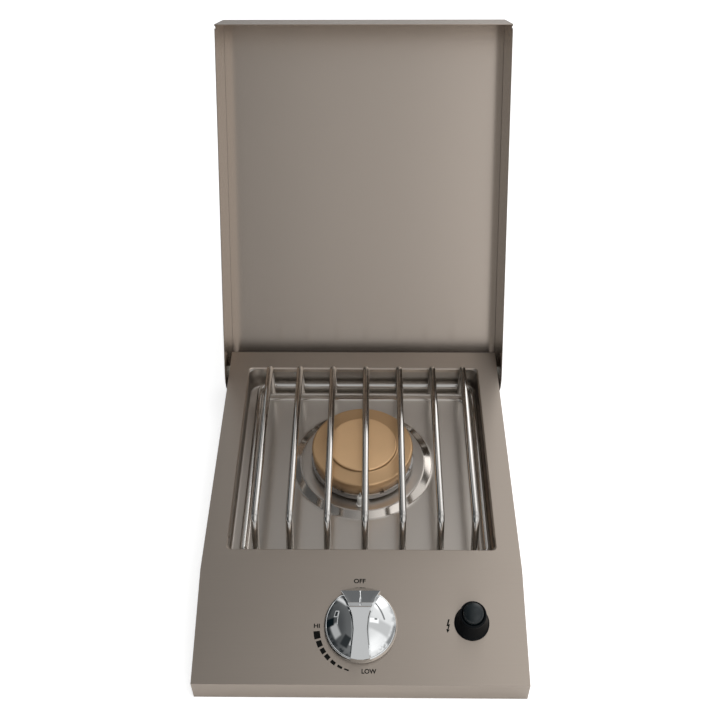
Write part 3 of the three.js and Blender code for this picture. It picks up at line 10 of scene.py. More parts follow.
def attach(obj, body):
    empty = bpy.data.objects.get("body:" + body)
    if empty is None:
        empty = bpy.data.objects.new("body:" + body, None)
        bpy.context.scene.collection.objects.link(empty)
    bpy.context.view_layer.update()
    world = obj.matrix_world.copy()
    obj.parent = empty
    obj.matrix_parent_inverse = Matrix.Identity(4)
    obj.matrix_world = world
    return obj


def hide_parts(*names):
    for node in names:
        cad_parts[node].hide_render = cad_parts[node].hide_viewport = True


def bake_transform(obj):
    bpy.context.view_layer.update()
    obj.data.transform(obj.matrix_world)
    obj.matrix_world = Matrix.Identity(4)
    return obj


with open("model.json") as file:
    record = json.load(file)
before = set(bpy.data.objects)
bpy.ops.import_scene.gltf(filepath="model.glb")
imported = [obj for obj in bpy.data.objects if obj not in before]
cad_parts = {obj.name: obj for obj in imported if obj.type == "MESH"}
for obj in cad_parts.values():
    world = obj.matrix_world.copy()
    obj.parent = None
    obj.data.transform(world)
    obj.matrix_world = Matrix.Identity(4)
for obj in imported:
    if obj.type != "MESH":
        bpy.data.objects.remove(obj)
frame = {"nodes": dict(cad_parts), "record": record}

MM = 0.001
scene = bpy.context.scene
scene.view_settings.view_transform = "Standard"
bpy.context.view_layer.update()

# Camera: a photographer's view from the front, well above the burner, looking down
# at about 45 degrees with a normal lens. The place and tilt were fitted to the
# edges of the deck, the opening, the lid and the knob.
camera_pitch, camera_yaw, camera_roll = (math.radians(a) for a in (44.83, -0.92, -0.49))
ahead = Vector((math.sin(camera_yaw) * math.cos(camera_pitch),
                math.cos(camera_yaw) * math.cos(camera_pitch), -math.sin(camera_pitch)))
level = Vector((math.cos(camera_yaw), -math.sin(camera_yaw), 0))
upward = level.cross(ahead)
right = level * math.cos(camera_roll) + upward * math.sin(camera_roll)
top = -level * math.sin(camera_roll) + upward * math.cos(camera_roll)
lens = bpy.data.cameras.new("camera")
lens.sensor_width = 36
lens.lens = 975.2 / 720 * 36
lens.clip_start = 0.02
camera = bpy.data.objects.new("camera", lens)
camera.matrix_world = Matrix((right, top, -ahead)).transposed().to_4x4()
camera.location = (9.77 * MM, -662.35 * MM, 916.85 * MM)
scene.collection.objects.link(camera)
scene.camera = camera

# Light: a white studio. The camera sees it as plain white. Metal sees soft walls, dim
# at the left and bright at the right, with cards hung in front of them. Two wide
# lamps give the shadows their softness.
room = bpy.data.worlds.new("room")
scene.world = room
room.use_nodes = True
nodes, links = room.node_tree.nodes, room.node_tree.links
nodes.clear()
out = nodes.new("ShaderNodeOutputWorld")
seen_or_lit = nodes.new("ShaderNodeMixShader")
seen = nodes.new("ShaderNodeBackground")
seen.inputs["Color"].default_value = (1, 1, 1, 1)
lit = nodes.new("ShaderNodeBackground")
path = nodes.new("ShaderNodeLightPath")
place = nodes.new("ShaderNodeTexCoord")


def dot_with(direction):
    """Cosine between the direction looked in and a given one."""
    dot = nodes.new("ShaderNodeVectorMath")
    dot.operation = "DOT_PRODUCT"
    dot.inputs[1].default_value = Vector(direction).normalized()
    links.new(place.outputs["Generated"], dot.inputs[0])
    return dot.outputs["Value"]


def curve(value, points):
    """Smooth steps between (cosine, level) points."""
    ramp = nodes.new("ShaderNodeValToRGB")
    ramp.color_ramp.interpolation = "EASE"
    spread = nodes.new("ShaderNodeMapRange")
    spread.inputs["From Min"].default_value = -1
    links.new(value, spread.inputs["Value"])
    links.new(spread.outputs["Result"], ramp.inputs["Fac"])
    steps = ramp.color_ramp.elements
    while len(steps) < len(points):
        steps.new(0.5)
    for step, (at, level) in zip(steps, points):
        step.position = at / 2 + 0.5
        step.color = (level, level, level, 1)
    return ramp.outputs["Color"]


def combine(kind, one, other):
    """Two sockets added or multiplied."""
    joined = nodes.new("ShaderNodeMath")
    joined.operation = kind
    links.new(one, joined.inputs[0])
    links.new(other, joined.inputs[1])
    return joined.outputs["Value"]


def card(centre, across_half, up_half, soft):
    """A rectangle on the sky about a direction: 1 inside it, 0 outside, with soft edges."""
    centre = Vector(centre).normalized()
    side = centre.cross((0, 0, 1)).normalized()
    inside = curve(dot_with(centre), [(0, 0), (0.1, 1)])
    for direction, half_size in ((side, across_half), (side.cross(centre), up_half)):
        size = nodes.new("ShaderNodeMath")
        size.operation = "ABSOLUTE"
        links.new(dot_with(direction), size.inputs[0])
        edge = nodes.new("ShaderNodeMapRange")
        edge.interpolation_type = "SMOOTHSTEP"
        edge.inputs["From Min"].default_value = half_size + soft
        edge.inputs["From Max"].default_value = half_size - soft
        links.new(size.outputs[0], edge.inputs["Value"])
        inside = combine("MULTIPLY", inside, edge.outputs["Result"])
    return inside


def hang(under, inside, level):
    """The light with a card of one level hung in front of it."""
    joined = nodes.new("ShaderNodeMix")
    joined.inputs["B"].default_value = level
    links.new(inside, joined.inputs["Factor"])
    links.new(under, joined.inputs["A"])
    return joined.outputs["Result"]


across = curve(dot_with((1, 0, 0)), [(-1, 0.03), (-0.7, 0.06), (-0.4, 0.12), (-0.18, 0.25), (0, 0.4),
                                     (0.16, 0.6), (0.4, 0.8), (1, 0.6)])
height = curve(dot_with((0, 0, 1)), [(-0.2, 0.6), (0.1, 0.62), (0.3, 0.82), (0.42, 1.02), (0.6, 0.97),
                                     (0.85, 0.76), (1, 0.69)])
light = combine("MULTIPLY", across, height)
leaves = nodes.new("ShaderNodeTexNoise")
leaves.inputs["Scale"].default_value = 7
leaves.inputs["Detail"].default_value = 3
links.new(place.outputs["Generated"], leaves.inputs["Vector"])
patches = curve(leaves.outputs["Fac"], [(0.42, 0.3), (0.6, 1.25)])
low_down = curve(dot_with((0, 0, 1)), [(0.25, 1), (0.5, 0)])
sideways = curve(dot_with((1, 0, 0)), [(-0.55, 1), (-0.3, 0), (0.45, 0), (0.7, 0.6)])
mottled = nodes.new("ShaderNodeMix")
links.new(combine("MULTIPLY", low_down, sideways), mottled.inputs["Factor"])
links.new(light, mottled.inputs["A"])
links.new(combine("MULTIPLY", light, patches), mottled.inputs["B"])
light = mottled.outputs["Result"]
# cards as (direction, half width, half height, softness, brightness), the later over the earlier
cards = [
    ((0.5, 0.72, 0.5), 0.2, 0.3, 0.08, 1.2),  # back wall, right
    ((0.35, -0.1, 0.93), 0.12, 0.26, 0.1, 0.64),  # overhead, right
    ((0, -0.42, 0.9), 0.16, 0.14, 0.1, 0.4),  # overhead, in front
    ((0.62, -0.12, 0.72), 0.2, 0.4, 0.06, 0.44),  # right wall
    ((0.42, 0.02, 0.9), 0.08, 0.2, 0.03, 0.85),  # strip in the right wall
    ((0.6, 0.4, 0.68), 0.3, 0.03, 0.02, 0.14),  # shelf line, right
    ((0.5, 0.08, 0.85), 0.03, 0.05, 0.01, 0.12),  # small dark spot, right
    ((0.9, -0.2, 0.25), 0.3, 0.1, 0.05, 0.2),  # low, far right
    ((-0.8, -0.2, 0.55), 0.22, 0.14, 0.05, 0.3),  # left wall
    ((-0.5, -0.6, 0.6), 0.14, 0.2, 0.04, 0.02),  # dark shape, front left
    ((-0.32, -0.66, 0.66), 0.045, 0.14, 0.02, 0.4),  # pale strip in it
    ((-0.72, 0.32, 0.6), 0.1, 0.07, 0.015, 0.42),  # window frame, left
    ((-0.72, 0.32, 0.6), 0.075, 0.05, 0.01, 0.02),  # window, left
    ((-0.72, 0.18, 0.68), 0.2, 0.01, 0.006, 0.5),  # shelf, left
    ((-0.9, 0.12, 0.42), 0.12, 0.16, 0.03, 0.003),  # dark doorway, left
    ((-0.5, 0.7, 0.5), 0.05, 0.3, 0.04, 0.5),  # strip at the back left
    ((0, 0.79, 0.61), 0.09, 0.06, 0.03, 0.1),  # dark gap straight behind
]
for direction, card_width, card_height, softness, brightness in cards:
    light = hang(light, card(direction, card_width, card_height, softness), brightness)
shade = nodes.new("ShaderNodeCombineColor")
links.new(light, shade.inputs["Red"])
for channel, cool in (("Green", 0.003), ("Blue", 0.005)):
    raised = nodes.new("ShaderNodeMath")
    raised.inputs[1].default_value = cool
    links.new(light, raised.inputs[0])
    links.new(raised.outputs[0], shade.inputs[channel])
links.new(shade.outputs[0], lit.inputs["Color"])
lit.inputs["Strength"].default_value = 1.5
links.new(path.outputs["Is Camera Ray"], seen_or_lit.inputs["Fac"])
links.new(lit.outputs[0], seen_or_lit.inputs[1])
links.new(seen.outputs[0], seen_or_lit.inputs[2])
links.new(seen_or_lit.outputs[0], out.inputs["Surface"])


def soft_box(name, where, aim, width, depth, watts):
    """A rectangular studio lamp at a place, turned to face a point, kept out of
    the reflections because the room already holds the soft walls."""
    data = bpy.data.lights.new(name, "AREA")
    data.shape, data.size, data.size_y = "RECTANGLE", width, depth
    data.energy = watts
    lamp = bpy.data.objects.new(name, data)
    lamp.location = where
    lamp.rotation_euler = (Vector(aim) - Vector(where)).to_track_quat("-Z", "Y").to_euler()
    lamp.visible_glossy = False
    scene.collection.objects.link(lamp)


soft_box("light_over", (0.2, 0.1, 2.2), (0, 0, 0), 2.0, 2.0, 16)
soft_box("light_right", (1.6, -0.7, 1.2), (0, 0, 0.1), 1.0, 1.2, 10)

# Counter: a plain white top with the burner's cut-out in it, so that the housing
# hangs below it. The camera sees it white, with the shadow under the lip. To
# reflections it is darker behind the burner: painted shade for the shaded gap under the lid.
cut_x, cut_y, reach = 152 * MM, 201 * MM, 6.0
xs, ys = np.array([-reach, -cut_x, cut_x, reach]), np.array([-reach, -cut_y, cut_y, reach])
gx, gy = np.meshgrid(xs, ys, indexing="ij")
corners = np.stack([gx.ravel(), gy.ravel(), np.full(16, -0.0002)], 1)
quads = [(4 * i + j, 4 * i + 4 + j, 4 * i + 5 + j, 4 * i + 1 + j)
         for i in range(3) for j in range(3) if (i, j) != (1, 1)]
counter_mesh = bpy.data.meshes.new("counter")
counter_mesh.from_pydata(corners.tolist(), [], quads)
counter = bpy.data.objects.new("counter", counter_mesh)
scene.collection.objects.link(counter)
white = bpy.data.materials.new("white counter")
white.use_nodes = True
nodes, links = white.node_tree.nodes, white.node_tree.links
nodes.clear()
out = nodes.new("ShaderNodeOutputMaterial")
add = nodes.new("ShaderNodeAddShader")
matt = nodes.new("ShaderNodeBsdfDiffuse")
spot = nodes.new("ShaderNodeTexCoord")
spot_parts = nodes.new("ShaderNodeSeparateXYZ")
links.new(spot.outputs["Object"], spot_parts.inputs[0])
# painted shade: to reflections the counter is darkened to 0.12 in a band 0.2 to 0.4 m behind, under the lid
reach_back = nodes.new("ShaderNodeMapRange")
links.new(spot_parts.outputs["Y"], reach_back.inputs["Value"])
painted_shade_behind = nodes.new("ShaderNodeValToRGB")
painted_shade_steps = painted_shade_behind.color_ramp.elements
while len(painted_shade_steps) < 4:
    painted_shade_steps.new(0.5)
for step, (at, level) in zip(painted_shade_steps, [(0.05, 0.8), (0.2, 0.12), (0.4, 0.12), (0.6, 0.8)]):
    step.position = at
    step.color = (level, level, level, 1)
links.new(reach_back.outputs["Result"], painted_shade_behind.inputs["Fac"])
counter_tone = nodes.new("ShaderNodeMix")
counter_tone.inputs["B"].default_value = 0.8
links.new(painted_shade_behind.outputs["Color"], counter_tone.inputs["A"])
links.new(counter_tone.outputs["Result"], matt.inputs["Color"])
glow = nodes.new("ShaderNodeEmission")
path = nodes.new("ShaderNodeLightPath")
seen_by = nodes.new("ShaderNodeMath")
seen_by.operation = "MULTIPLY"
seen_by.inputs[1].default_value = 0.62
links.new(path.outputs["Is Camera Ray"], seen_by.inputs[0])
links.new(path.outputs["Is Camera Ray"], counter_tone.inputs["Factor"])
links.new(seen_by.outputs[0], glow.inputs["Strength"])
links.new(matt.outputs[0], add.inputs[0])
links.new(glow.outputs[0], add.inputs[1])
links.new(add.outputs[0], out.inputs["Surface"])
counter_mesh.materials.append(white)

# Deck: one folded sheet of brushed stainless steel, 1.2 mm thick, with a sloped
# control panel and a bevelled opening. Its bends have a small radius, made here
# by rounding the edges of the CAD sheet.


def brushed(name, colour, rough, grain=(3, 420, 420), depth=0.02, anisotropy=0.0, patch=0.06, smear=0.05):
    """Metal drawn one way: fine streaks of noise, long along the grain, move the
    roughness, the tone and a slight bump; a broad soft noise adds handling marks."""
    material = bpy.data.materials.new(name)
    material.use_nodes = True
    nodes, links = material.node_tree.nodes, material.node_tree.links
    shader = nodes["Principled BSDF"]
    shader.inputs["Metallic"].default_value = 1
    shader.inputs["Anisotropic"].default_value = anisotropy
    place = nodes.new("ShaderNodeTexCoord")
    mapping = nodes.new("ShaderNodeMapping")
    mapping.inputs["Scale"].default_value = grain
    streaks = nodes.new("ShaderNodeTexNoise")
    streaks.inputs["Scale"].default_value = 4
    streaks.inputs["Detail"].default_value = 3
    links.new(place.outputs["Object"], mapping.inputs["Vector"])
    links.new(mapping.outputs[0], streaks.inputs["Vector"])
    broad = nodes.new("ShaderNodeTexNoise")
    broad.inputs["Scale"].default_value = 9
    broad.inputs["Detail"].default_value = 2
    links.new(place.outputs["Object"], broad.inputs["Vector"])
    tone = nodes.new("ShaderNodeMix")
    tone.data_type = "RGBA"
    low = [c * (1 - patch) for c in colour] + [1]
    high = [min(1, c * (1 + patch)) for c in colour] + [1]
    tone.inputs["A"].default_value = low
    tone.inputs["B"].default_value = high
    blend = nodes.new("ShaderNodeMath")
    blend.operation = "MULTIPLY_ADD"
    blend.inputs[1].default_value = 0.5
    links.new(streaks.outputs["Fac"], blend.inputs[0])
    half = nodes.new("ShaderNodeMath")
    half.operation = "MULTIPLY"
    half.inputs[1].default_value = 0.5
    links.new(broad.outputs["Fac"], half.inputs[0])
    links.new(half.outputs[0], blend.inputs[2])
    links.new(blend.outputs[0], tone.inputs["Factor"])
    links.new(tone.outputs["Result"], shader.inputs["Base Color"])
    polish = nodes.new("ShaderNodeMapRange")
    polish.inputs["To Min"].default_value = max(0.02, rough - smear)
    polish.inputs["To Max"].default_value = rough + smear
    links.new(blend.outputs[0], polish.inputs["Value"])
    links.new(polish.outputs["Result"], shader.inputs["Roughness"])
    if anisotropy:
        tangent = nodes.new("ShaderNodeTangent")
        tangent.direction_type = "UV_MAP"
        tangent.uv_map = "grain"
        links.new(tangent.outputs[0], shader.inputs["Tangent"])
    bump = nodes.new("ShaderNodeBump")
    bump.inputs["Strength"].default_value = depth
    bump.inputs["Distance"].default_value = 0.0005
    links.new(streaks.outputs["Fac"], bump.inputs["Height"])
    links.new(bump.outputs[0], shader.inputs["Normal"])
    return material


def grain_map(mesh, length, depth):
    """Flat map for the grain, in metres: u runs across the grain, along the sheet's
    length, or along its depth on the faces that close the length."""
    layer = mesh.uv_layers.new(name="grain")
    corner = np.zeros(len(mesh.loops), int)
    mesh.loops.foreach_get("vertex_index", corner)
    points = np.zeros(len(mesh.vertices) * 3)
    mesh.vertices.foreach_get("co", points)
    points = points.reshape(-1, 3)[corner]
    normals = np.zeros(len(mesh.polygons) * 3)
    mesh.polygons.foreach_get("normal", normals)
    sizes = np.zeros(len(mesh.polygons), int)
    mesh.polygons.foreach_get("loop_total", sizes)
    normals = np.repeat(normals.reshape(-1, 3), sizes, axis=0)
    closing = np.abs(normals @ length) > 0.8
    sides = np.abs(normals[:, 0]) > 0.7
    u = np.where(closing, points @ depth, points @ length)
    v = np.where(sides, points @ depth, points[:, 0])
    layer.data.foreach_set("uv", np.stack([u, v], 1).ravel())


def rounded_copy(node, name, material, radius, length, depth, segments=3, angle=25):
    """The CAD sheet again with its loose triangles merged, its flat faces made one,
    its folds rounded by a bevel, and smooth shading across shallow edges."""
    source = frame["nodes"][node]
    shape = bmesh.new()
    shape.from_mesh(source.data)
    bmesh.ops.remove_doubles(shape, verts=shape.verts, dist=1e-6)
    bmesh.ops.dissolve_limit(shape, angle_limit=math.radians(1), verts=shape.verts, edges=shape.edges)
    for edge in shape.edges:
        edge.smooth = len(edge.link_faces) == 2 and edge.calc_face_angle(0) < math.radians(angle)
    for face in shape.faces:
        face.smooth = True
    mesh = bpy.data.meshes.new(name)
    shape.to_mesh(mesh)
    shape.free()
    grain_map(mesh, np.array(length), np.array(depth))
    mesh.materials.append(material)
    piece = bpy.data.objects.new(name, mesh)
    scene.collection.objects.link(piece)
    if radius:
        rounding = piece.modifiers.new("bend radius", "BEVEL")
        rounding.width, rounding.segments = radius, segments
        rounding.limit_method, rounding.angle_limit = "ANGLE", math.radians(angle)
        rounding.harden_normals = True
    return piece


def by_height(material, axis, steps, socket, follow=False):
    """Turns one shader value into a function of place along an axis: (mm, value) steps
    with sharp changes between them, or a share of what the socket already carries."""
    nodes, links = material.node_tree.nodes, material.node_tree.links
    shader = nodes["Principled BSDF"]
    place = nodes.new("ShaderNodeTexCoord")
    parts = nodes.new("ShaderNodeSeparateXYZ")
    links.new(place.outputs["Object"], parts.inputs[0])
    low, high = steps[0][0] - 1, steps[-1][0] + 1
    spread = nodes.new("ShaderNodeMapRange")
    spread.inputs["From Min"].default_value = low * MM
    spread.inputs["From Max"].default_value = high * MM
    links.new(parts.outputs[axis], spread.inputs["Value"])
    ramp = nodes.new("ShaderNodeValToRGB")
    links.new(spread.outputs["Result"], ramp.inputs["Fac"])
    marks = ramp.color_ramp.elements
    while len(marks) < len(steps):
        marks.new(0.5)
    for mark, (at, value) in zip(marks, steps):
        mark.position = (at - low) / (high - low)
        mark.color = (value, value, value, 1)
    if not follow:
        links.new(ramp.outputs["Color"], shader.inputs[socket])
        return
    joined = nodes.new("ShaderNodeMix")
    joined.data_type, joined.blend_type = "RGBA", "MULTIPLY"
    joined.inputs["Factor"].default_value = 1
    links.new(shader.inputs[socket].links[0].from_socket, joined.inputs["A"])
    links.new(ramp.outputs["Color"], joined.inputs["B"])
    links.new(joined.outputs["Result"], shader.inputs[socket])


deck_steel = brushed("brushed stainless deck", (0.58, 0.5, 0.43), 0.3, grain=(4, 500, 500), depth=0.03,
                     anisotropy=0.95)
# painted shade: the deck's back wall, past Y 213.6 mm, is darkened to 0.15 of its colour for the shaded gap under the
# lid's foot
by_height(deck_steel, "Y", [(0, 1), (213, 1), (213.6, 0.15), (220, 0.15)], "Base Color", follow=True)
deck = rounded_copy("deck_shell", "deck", deck_steel, 0.5 * MM, (0, 1, 0), (0, 0, 1))
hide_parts("deck_shell")
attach(deck, "housing")

# Dial marks: OFF, HI and LOW, a row of blocks that thins towards LOW, and the spark
# arrow beside the igniter, all screen-printed in black on the sloped panel.
slope_rise, slope_run, bend_y, deck_top = 33.3, 109.0, -105, 59.8
slope_turn = math.atan2(slope_rise, slope_run)
panel_frame = Matrix((
    (1, 0, 0, 0),
    (0, math.cos(slope_turn), -math.sin(slope_turn), bend_y * MM),
    (0, math.sin(slope_turn), math.cos(slope_turn), deck_top * MM),
    (0, 0, 0, 1)))
PRINT = 0.06 * MM


def plain(name, colour, rough, metallic=0.0, speckle=0.0, bump=0.0, scale=600, coat=0.0, shine=0.5):
    """A moulded, printed or cast finish: fine noise moves tone, roughness and bump."""
    material = bpy.data.materials.new(name)
    material.use_nodes = True
    nodes, links = material.node_tree.nodes, material.node_tree.links
    shader = nodes["Principled BSDF"]
    shader.inputs["Metallic"].default_value = metallic
    shader.inputs["Coat Weight"].default_value = coat
    shader.inputs["Specular IOR Level"].default_value = shine
    place = nodes.new("ShaderNodeTexCoord")
    fine = nodes.new("ShaderNodeTexNoise")
    fine.inputs["Scale"].default_value = scale
    fine.inputs["Detail"].default_value = 3
    links.new(place.outputs["Object"], fine.inputs["Vector"])
    tone = nodes.new("ShaderNodeMix")
    tone.data_type = "RGBA"
    tone.inputs["A"].default_value = [c * (1 - speckle) for c in colour] + [1]
    tone.inputs["B"].default_value = [min(1, c * (1 + speckle)) for c in colour] + [1]
    links.new(fine.outputs["Fac"], tone.inputs["Factor"])
    links.new(tone.outputs["Result"], shader.inputs["Base Color"])
    polish = nodes.new("ShaderNodeMapRange")
    polish.inputs["To Min"].default_value = max(0.02, rough * 0.85)
    polish.inputs["To Max"].default_value = rough * 1.15
    links.new(fine.outputs["Fac"], polish.inputs["Value"])
    links.new(polish.outputs["Result"], shader.inputs["Roughness"])
    relief = nodes.new("ShaderNodeBump")
    relief.inputs["Strength"].default_value = bump
    relief.inputs["Distance"].default_value = 0.0004
    links.new(fine.outputs["Fac"], relief.inputs["Height"])
    links.new(relief.outputs[0], shader.inputs["Normal"])
    return material


ink = plain("black ink", (0.006, 0.006, 0.005), 0.7, speckle=0.3, shine=0.12)


def on_panel(name, points):
    """Outline drawn on the slope as (x, distance down from the bend) in millimetres,
    given the thickness of a print: one ring on the sheet, the same ring raised, and
    a wall between them."""
    points = np.asarray(points, float)
    flat = np.stack([points[:, 0], -points[:, 1], np.zeros(len(points))], 1) * MM
    raised = flat + [0, 0, PRINT]
    count = len(flat)
    ring = np.arange(count)
    after = np.roll(ring, -1)
    walls = np.stack([ring, after, after + count, ring + count], 1)
    mesh = bpy.data.meshes.new(name)
    mesh.from_pydata(np.vstack([flat, raised]).tolist(), [],
                     [(ring + count).tolist(), ring[::-1].tolist(), *walls.tolist()])
    shape = bmesh.new()
    shape.from_mesh(mesh)
    bmesh.ops.recalc_face_normals(shape, faces=shape.faces)
    shape.to_mesh(mesh)
    shape.free()
    mesh.transform(panel_frame)
    mesh.materials.append(ink)
    piece = bpy.data.objects.new(name, mesh)
    scene.collection.objects.link(piece)
    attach(piece, "housing")


def lettering(name, words, centre, size):
    """Letters from Blender's own font, fitted to a printed width and height."""
    curve = bpy.data.curves.new(name, "FONT")
    curve.body, curve.extrude, curve.offset = words, PRINT / MM / 2, 0.03
    temporary = bpy.data.objects.new(name + "_curve", curve)
    scene.collection.objects.link(temporary)
    mesh = bpy.data.meshes.new_from_object(temporary)
    bpy.data.objects.remove(temporary)
    points = np.zeros(len(mesh.vertices) * 3)
    mesh.vertices.foreach_get("co", points)
    points = points.reshape(-1, 3)
    low, high = points.min(0), points.max(0)
    scale = np.array([size[0] / (high[0] - low[0]), size[1] / (high[1] - low[1]), 1])
    middle = (low + high) / 2
    points = (points - middle) * scale + [centre[0], -centre[1], PRINT / MM / 2]
    mesh.vertices.foreach_set("co", (points * MM).ravel())
    mesh.transform(panel_frame)
    mesh.materials.clear()
    mesh.materials.append(ink)
    piece = bpy.data.objects.new(name, mesh)
    scene.collection.objects.link(piece)
    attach(piece, "housing")


lettering("mark_off", "OFF", (-1.2, 11.9), (12.0, 4.6))
lettering("mark_hi", "HI", (-43.6, 57.3), (6.0, 4.2))
lettering("mark_low", "LOW", (8.5, 101.0), (14.5, 4.6))
block_angles = np.radians([80.2, 68.7, 58.6, 49.1, 38.9, 28.6, 19.1])
block_halves = np.array([3.8, 3.1, 2.75, 2.7, 2.6, 2.6, 2.4])
block_widths = [6.4, 5.4, 4.7, 4.4, 3.4, 2.3, 1.5]
dial_x, dial_down, dial_radius, dial_narrowing = 0.7, 58.7, 44.6, 1.3
for number, around in enumerate(block_angles):
    mid = dial_radius - dial_narrowing * number / 6
    half_turn = block_halves[number] / dial_radius
    sweep = around + np.linspace(-half_turn, half_turn, 7)
    turns = np.concatenate([sweep, sweep[::-1]])
    radii = mid + block_widths[number] / 2 * np.repeat([1, -1], 7)
    on_panel(f"mark_block_{number + 1}",
             np.stack([dial_x - radii * np.sin(turns), dial_down + radii * np.cos(turns)], 1))
on_panel("mark_spark", [(87.4, 50.0), (89.0, 50.2), (87.6, 55.2), (89.2, 55.0), (87.5, 60.2), (88.7, 60.4),
                        (86.3, 63.4), (85.2, 59.7), (86.4, 59.9), (87.4, 56.7), (85.6, 57.0)])

# Pan: drawn from one sheet of polished stainless, 1 mm thick, with a ledge all
# round for the grate, a floor, and a round boss raised under the burner. The sheet
# is a set of loops that shrink from its flange to the hole in the boss.
pan_x, pan_y, pan_mid = 142.4, 134.5, 52.4
burner_y = 68.5


def smooth_piece(name, points, faces, material, body, node=None, slot=None, thickness=0.0, angle=40):
    """Puts computed points (in millimetres) and faces into a mesh, shades it smooth and
    gives it its material and body; the slot argument is not used."""
    mesh = bpy.data.meshes.new(name)
    mesh.from_pydata((np.asarray(points) * MM).tolist(), [], [tuple(map(int, f)) for f in faces])
    shape = bmesh.new()
    shape.from_mesh(mesh)
    bmesh.ops.remove_doubles(shape, verts=shape.verts, dist=1e-7)
    if not thickness:
        bmesh.ops.recalc_face_normals(shape, faces=shape.faces)
    for edge in shape.edges:
        edge.smooth = len(edge.link_faces) == 2 and edge.calc_face_angle(0) < math.radians(angle)
    for face in shape.faces:
        face.smooth = True
    shape.to_mesh(mesh)
    shape.free()
    mesh.materials.append(material)
    piece = bpy.data.objects.new(name, mesh)
    scene.collection.objects.link(piece)
    if thickness:
        layer = mesh.uv_layers.new(name="grain")
        corner = np.zeros(len(mesh.loops), int)
        mesh.loops.foreach_get("vertex_index", corner)
        flat = np.zeros(len(mesh.vertices) * 3)
        mesh.vertices.foreach_get("co", flat)
        layer.data.foreach_set("uv", flat.reshape(-1, 3)[corner][:, 1::-1].ravel())
        wall = piece.modifiers.new("sheet", "SOLIDIFY")
        wall.thickness, wall.offset = thickness * MM, -1
    if node:
        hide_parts(*([node] if isinstance(node, str) else node))
    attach(piece, body)


def grid_faces(rows, columns, wrap):
    """Quads of a grid of points; wrap joins the last column to the first."""
    i, j = np.meshgrid(np.arange(rows - 1), np.arange(columns if wrap else columns - 1), indexing="ij")
    k = (j + 1) % columns
    here, above = i * columns, (i + 1) * columns
    return np.stack([here + j, here + k, above + k, above + j], -1).reshape(-1, 4)


def loop(half_x, half_y, radius, z, corner=14, side=26):
    """Rectangle with round corners: arcs of a quarter turn joined by straight runs."""
    parts = []
    for turn, (sx, sy) in enumerate(((1, 1), (-1, 1), (-1, -1), (1, -1))):
        a = (turn + np.linspace(0, 1, corner)) * np.pi / 2
        parts.append(np.stack([sx * (half_x - radius) + radius * np.cos(a),
                               pan_mid + sy * (half_y - radius) + radius * np.sin(a)], 1))
    loops = []
    for here, there in zip(parts, parts[1:] + parts[:1]):
        t = np.linspace(0, 1, side + 2)[1:-1, None]
        loops += [here, here[-1] * (1 - t) + there[0] * t]
    flat = np.vstack(loops)
    return np.hstack([flat, np.full((len(flat), 1), z)])


def arc(cx, cz, radius, start, end, count=6):
    """Fillet in the section of the pan: points of an arc in (inset, z)."""
    a = np.radians(np.linspace(start, end, count))
    return np.stack([cx + radius * np.cos(a), cz + radius * np.sin(a)], 1)


# section of the pan as (inset from the wall, z)
section = np.vstack([[(-8.6, 58.2), (-2.2, 58.2)], arc(-2.0, 56.2, 2.0, 90, 0), [(0, 40)],
                     arc(3.0, 29.8, 3.0, 180, 270), [(9, 26.8), (13.2, 26.8)],
                     arc(13.6, 24.4, 2.4, 90, 15), arc(19.0, 21.8, 3.0, 195, 270)])
floor_z, boss_foot = 18.8, 83.5
loops = []
for inset, z in section:
    radius = max(16.4 - inset, 10 - 0.12 * inset, 3)
    loops.append(loop(pan_x - inset, pan_y - inset, radius, z))
floor = loops[-1]
centre = np.array([0, burner_y])
away = floor[:, :2] - centre
unit = away / np.linalg.norm(away, axis=1, keepdims=True)
for share in (0.02, 0.25, 0.5, 0.75, 0.98):
    middle = centre + unit * (boss_foot * share) + away * (1 - share)
    loops.append(np.hstack([middle, np.full((len(floor), 1), floor_z)]))
boss = [(boss_foot, floor_z), (81.6, 18.95), (80.4, 19.35), (73.6, 22.25), (72.6, 22.65), (71.2, 22.8), (70.4, 22.8),
        (60, 22.8), (41, 22.8), (39.8, 22.6)]
for radius, z in boss:
    loops.append(np.hstack([centre + unit * radius, np.full((len(floor), 1), z)]))
pan_points = np.vstack(loops)
pan_finish = brushed("polished pan", (0.62, 0.57, 0.52), 0.15, grain=(6, 300, 300), depth=0.012,
                     anisotropy=0.9, patch=0.04, smear=0.03)
by_height(pan_finish, "Z", [(17, 0.31), (18.9, 0.31), (19.3, 0.12), (22.5, 0.12), (22.78, 0.34), (23.2, 0.34),
                            (24, 0.36), (60, 0.36)], "Roughness")
by_height(pan_finish, "Z", [(17, 0.9), (18.9, 0.9), (19.3, 0), (60, 0)], "Anisotropic")
# painted light and shade: the floor is lightened by a tenth, and the walls above the ledge and the flange are
# darkened to 0.8
by_height(pan_finish, "Z", [(17, 1.1), (18.9, 1.1), (19.3, 1), (27, 1), (32, 0.8), (60, 0.8)], "Base Color",
          follow=True)
smooth_piece("pan", pan_points, grid_faces(len(loops), len(floor), True), pan_finish,
             "housing", "burner_pan", "polished_steel", thickness=1.0, angle=60)

# Burner head: cast aluminium, machined on its ring, with slots cut across the rim
# as flame ports. Turned from its section, with the rim lowered at each port.
ring_steps = 288


def turned(profile, x, y, steps=128, poles=True):
    """A section of (radius, z) turned about a vertical line; ends that lie on the
    line close to a point when the doubles are merged."""
    profile = np.asarray(profile, float)
    a = np.linspace(0, 2 * np.pi, steps, endpoint=False)
    points = np.stack([x + profile[:, :1] * np.cos(a), y + profile[:, :1] * np.sin(a),
                       np.repeat(profile[:, 1:], steps, 1)], -1)
    return points.reshape(-1, 3), grid_faces(len(profile), steps, True)


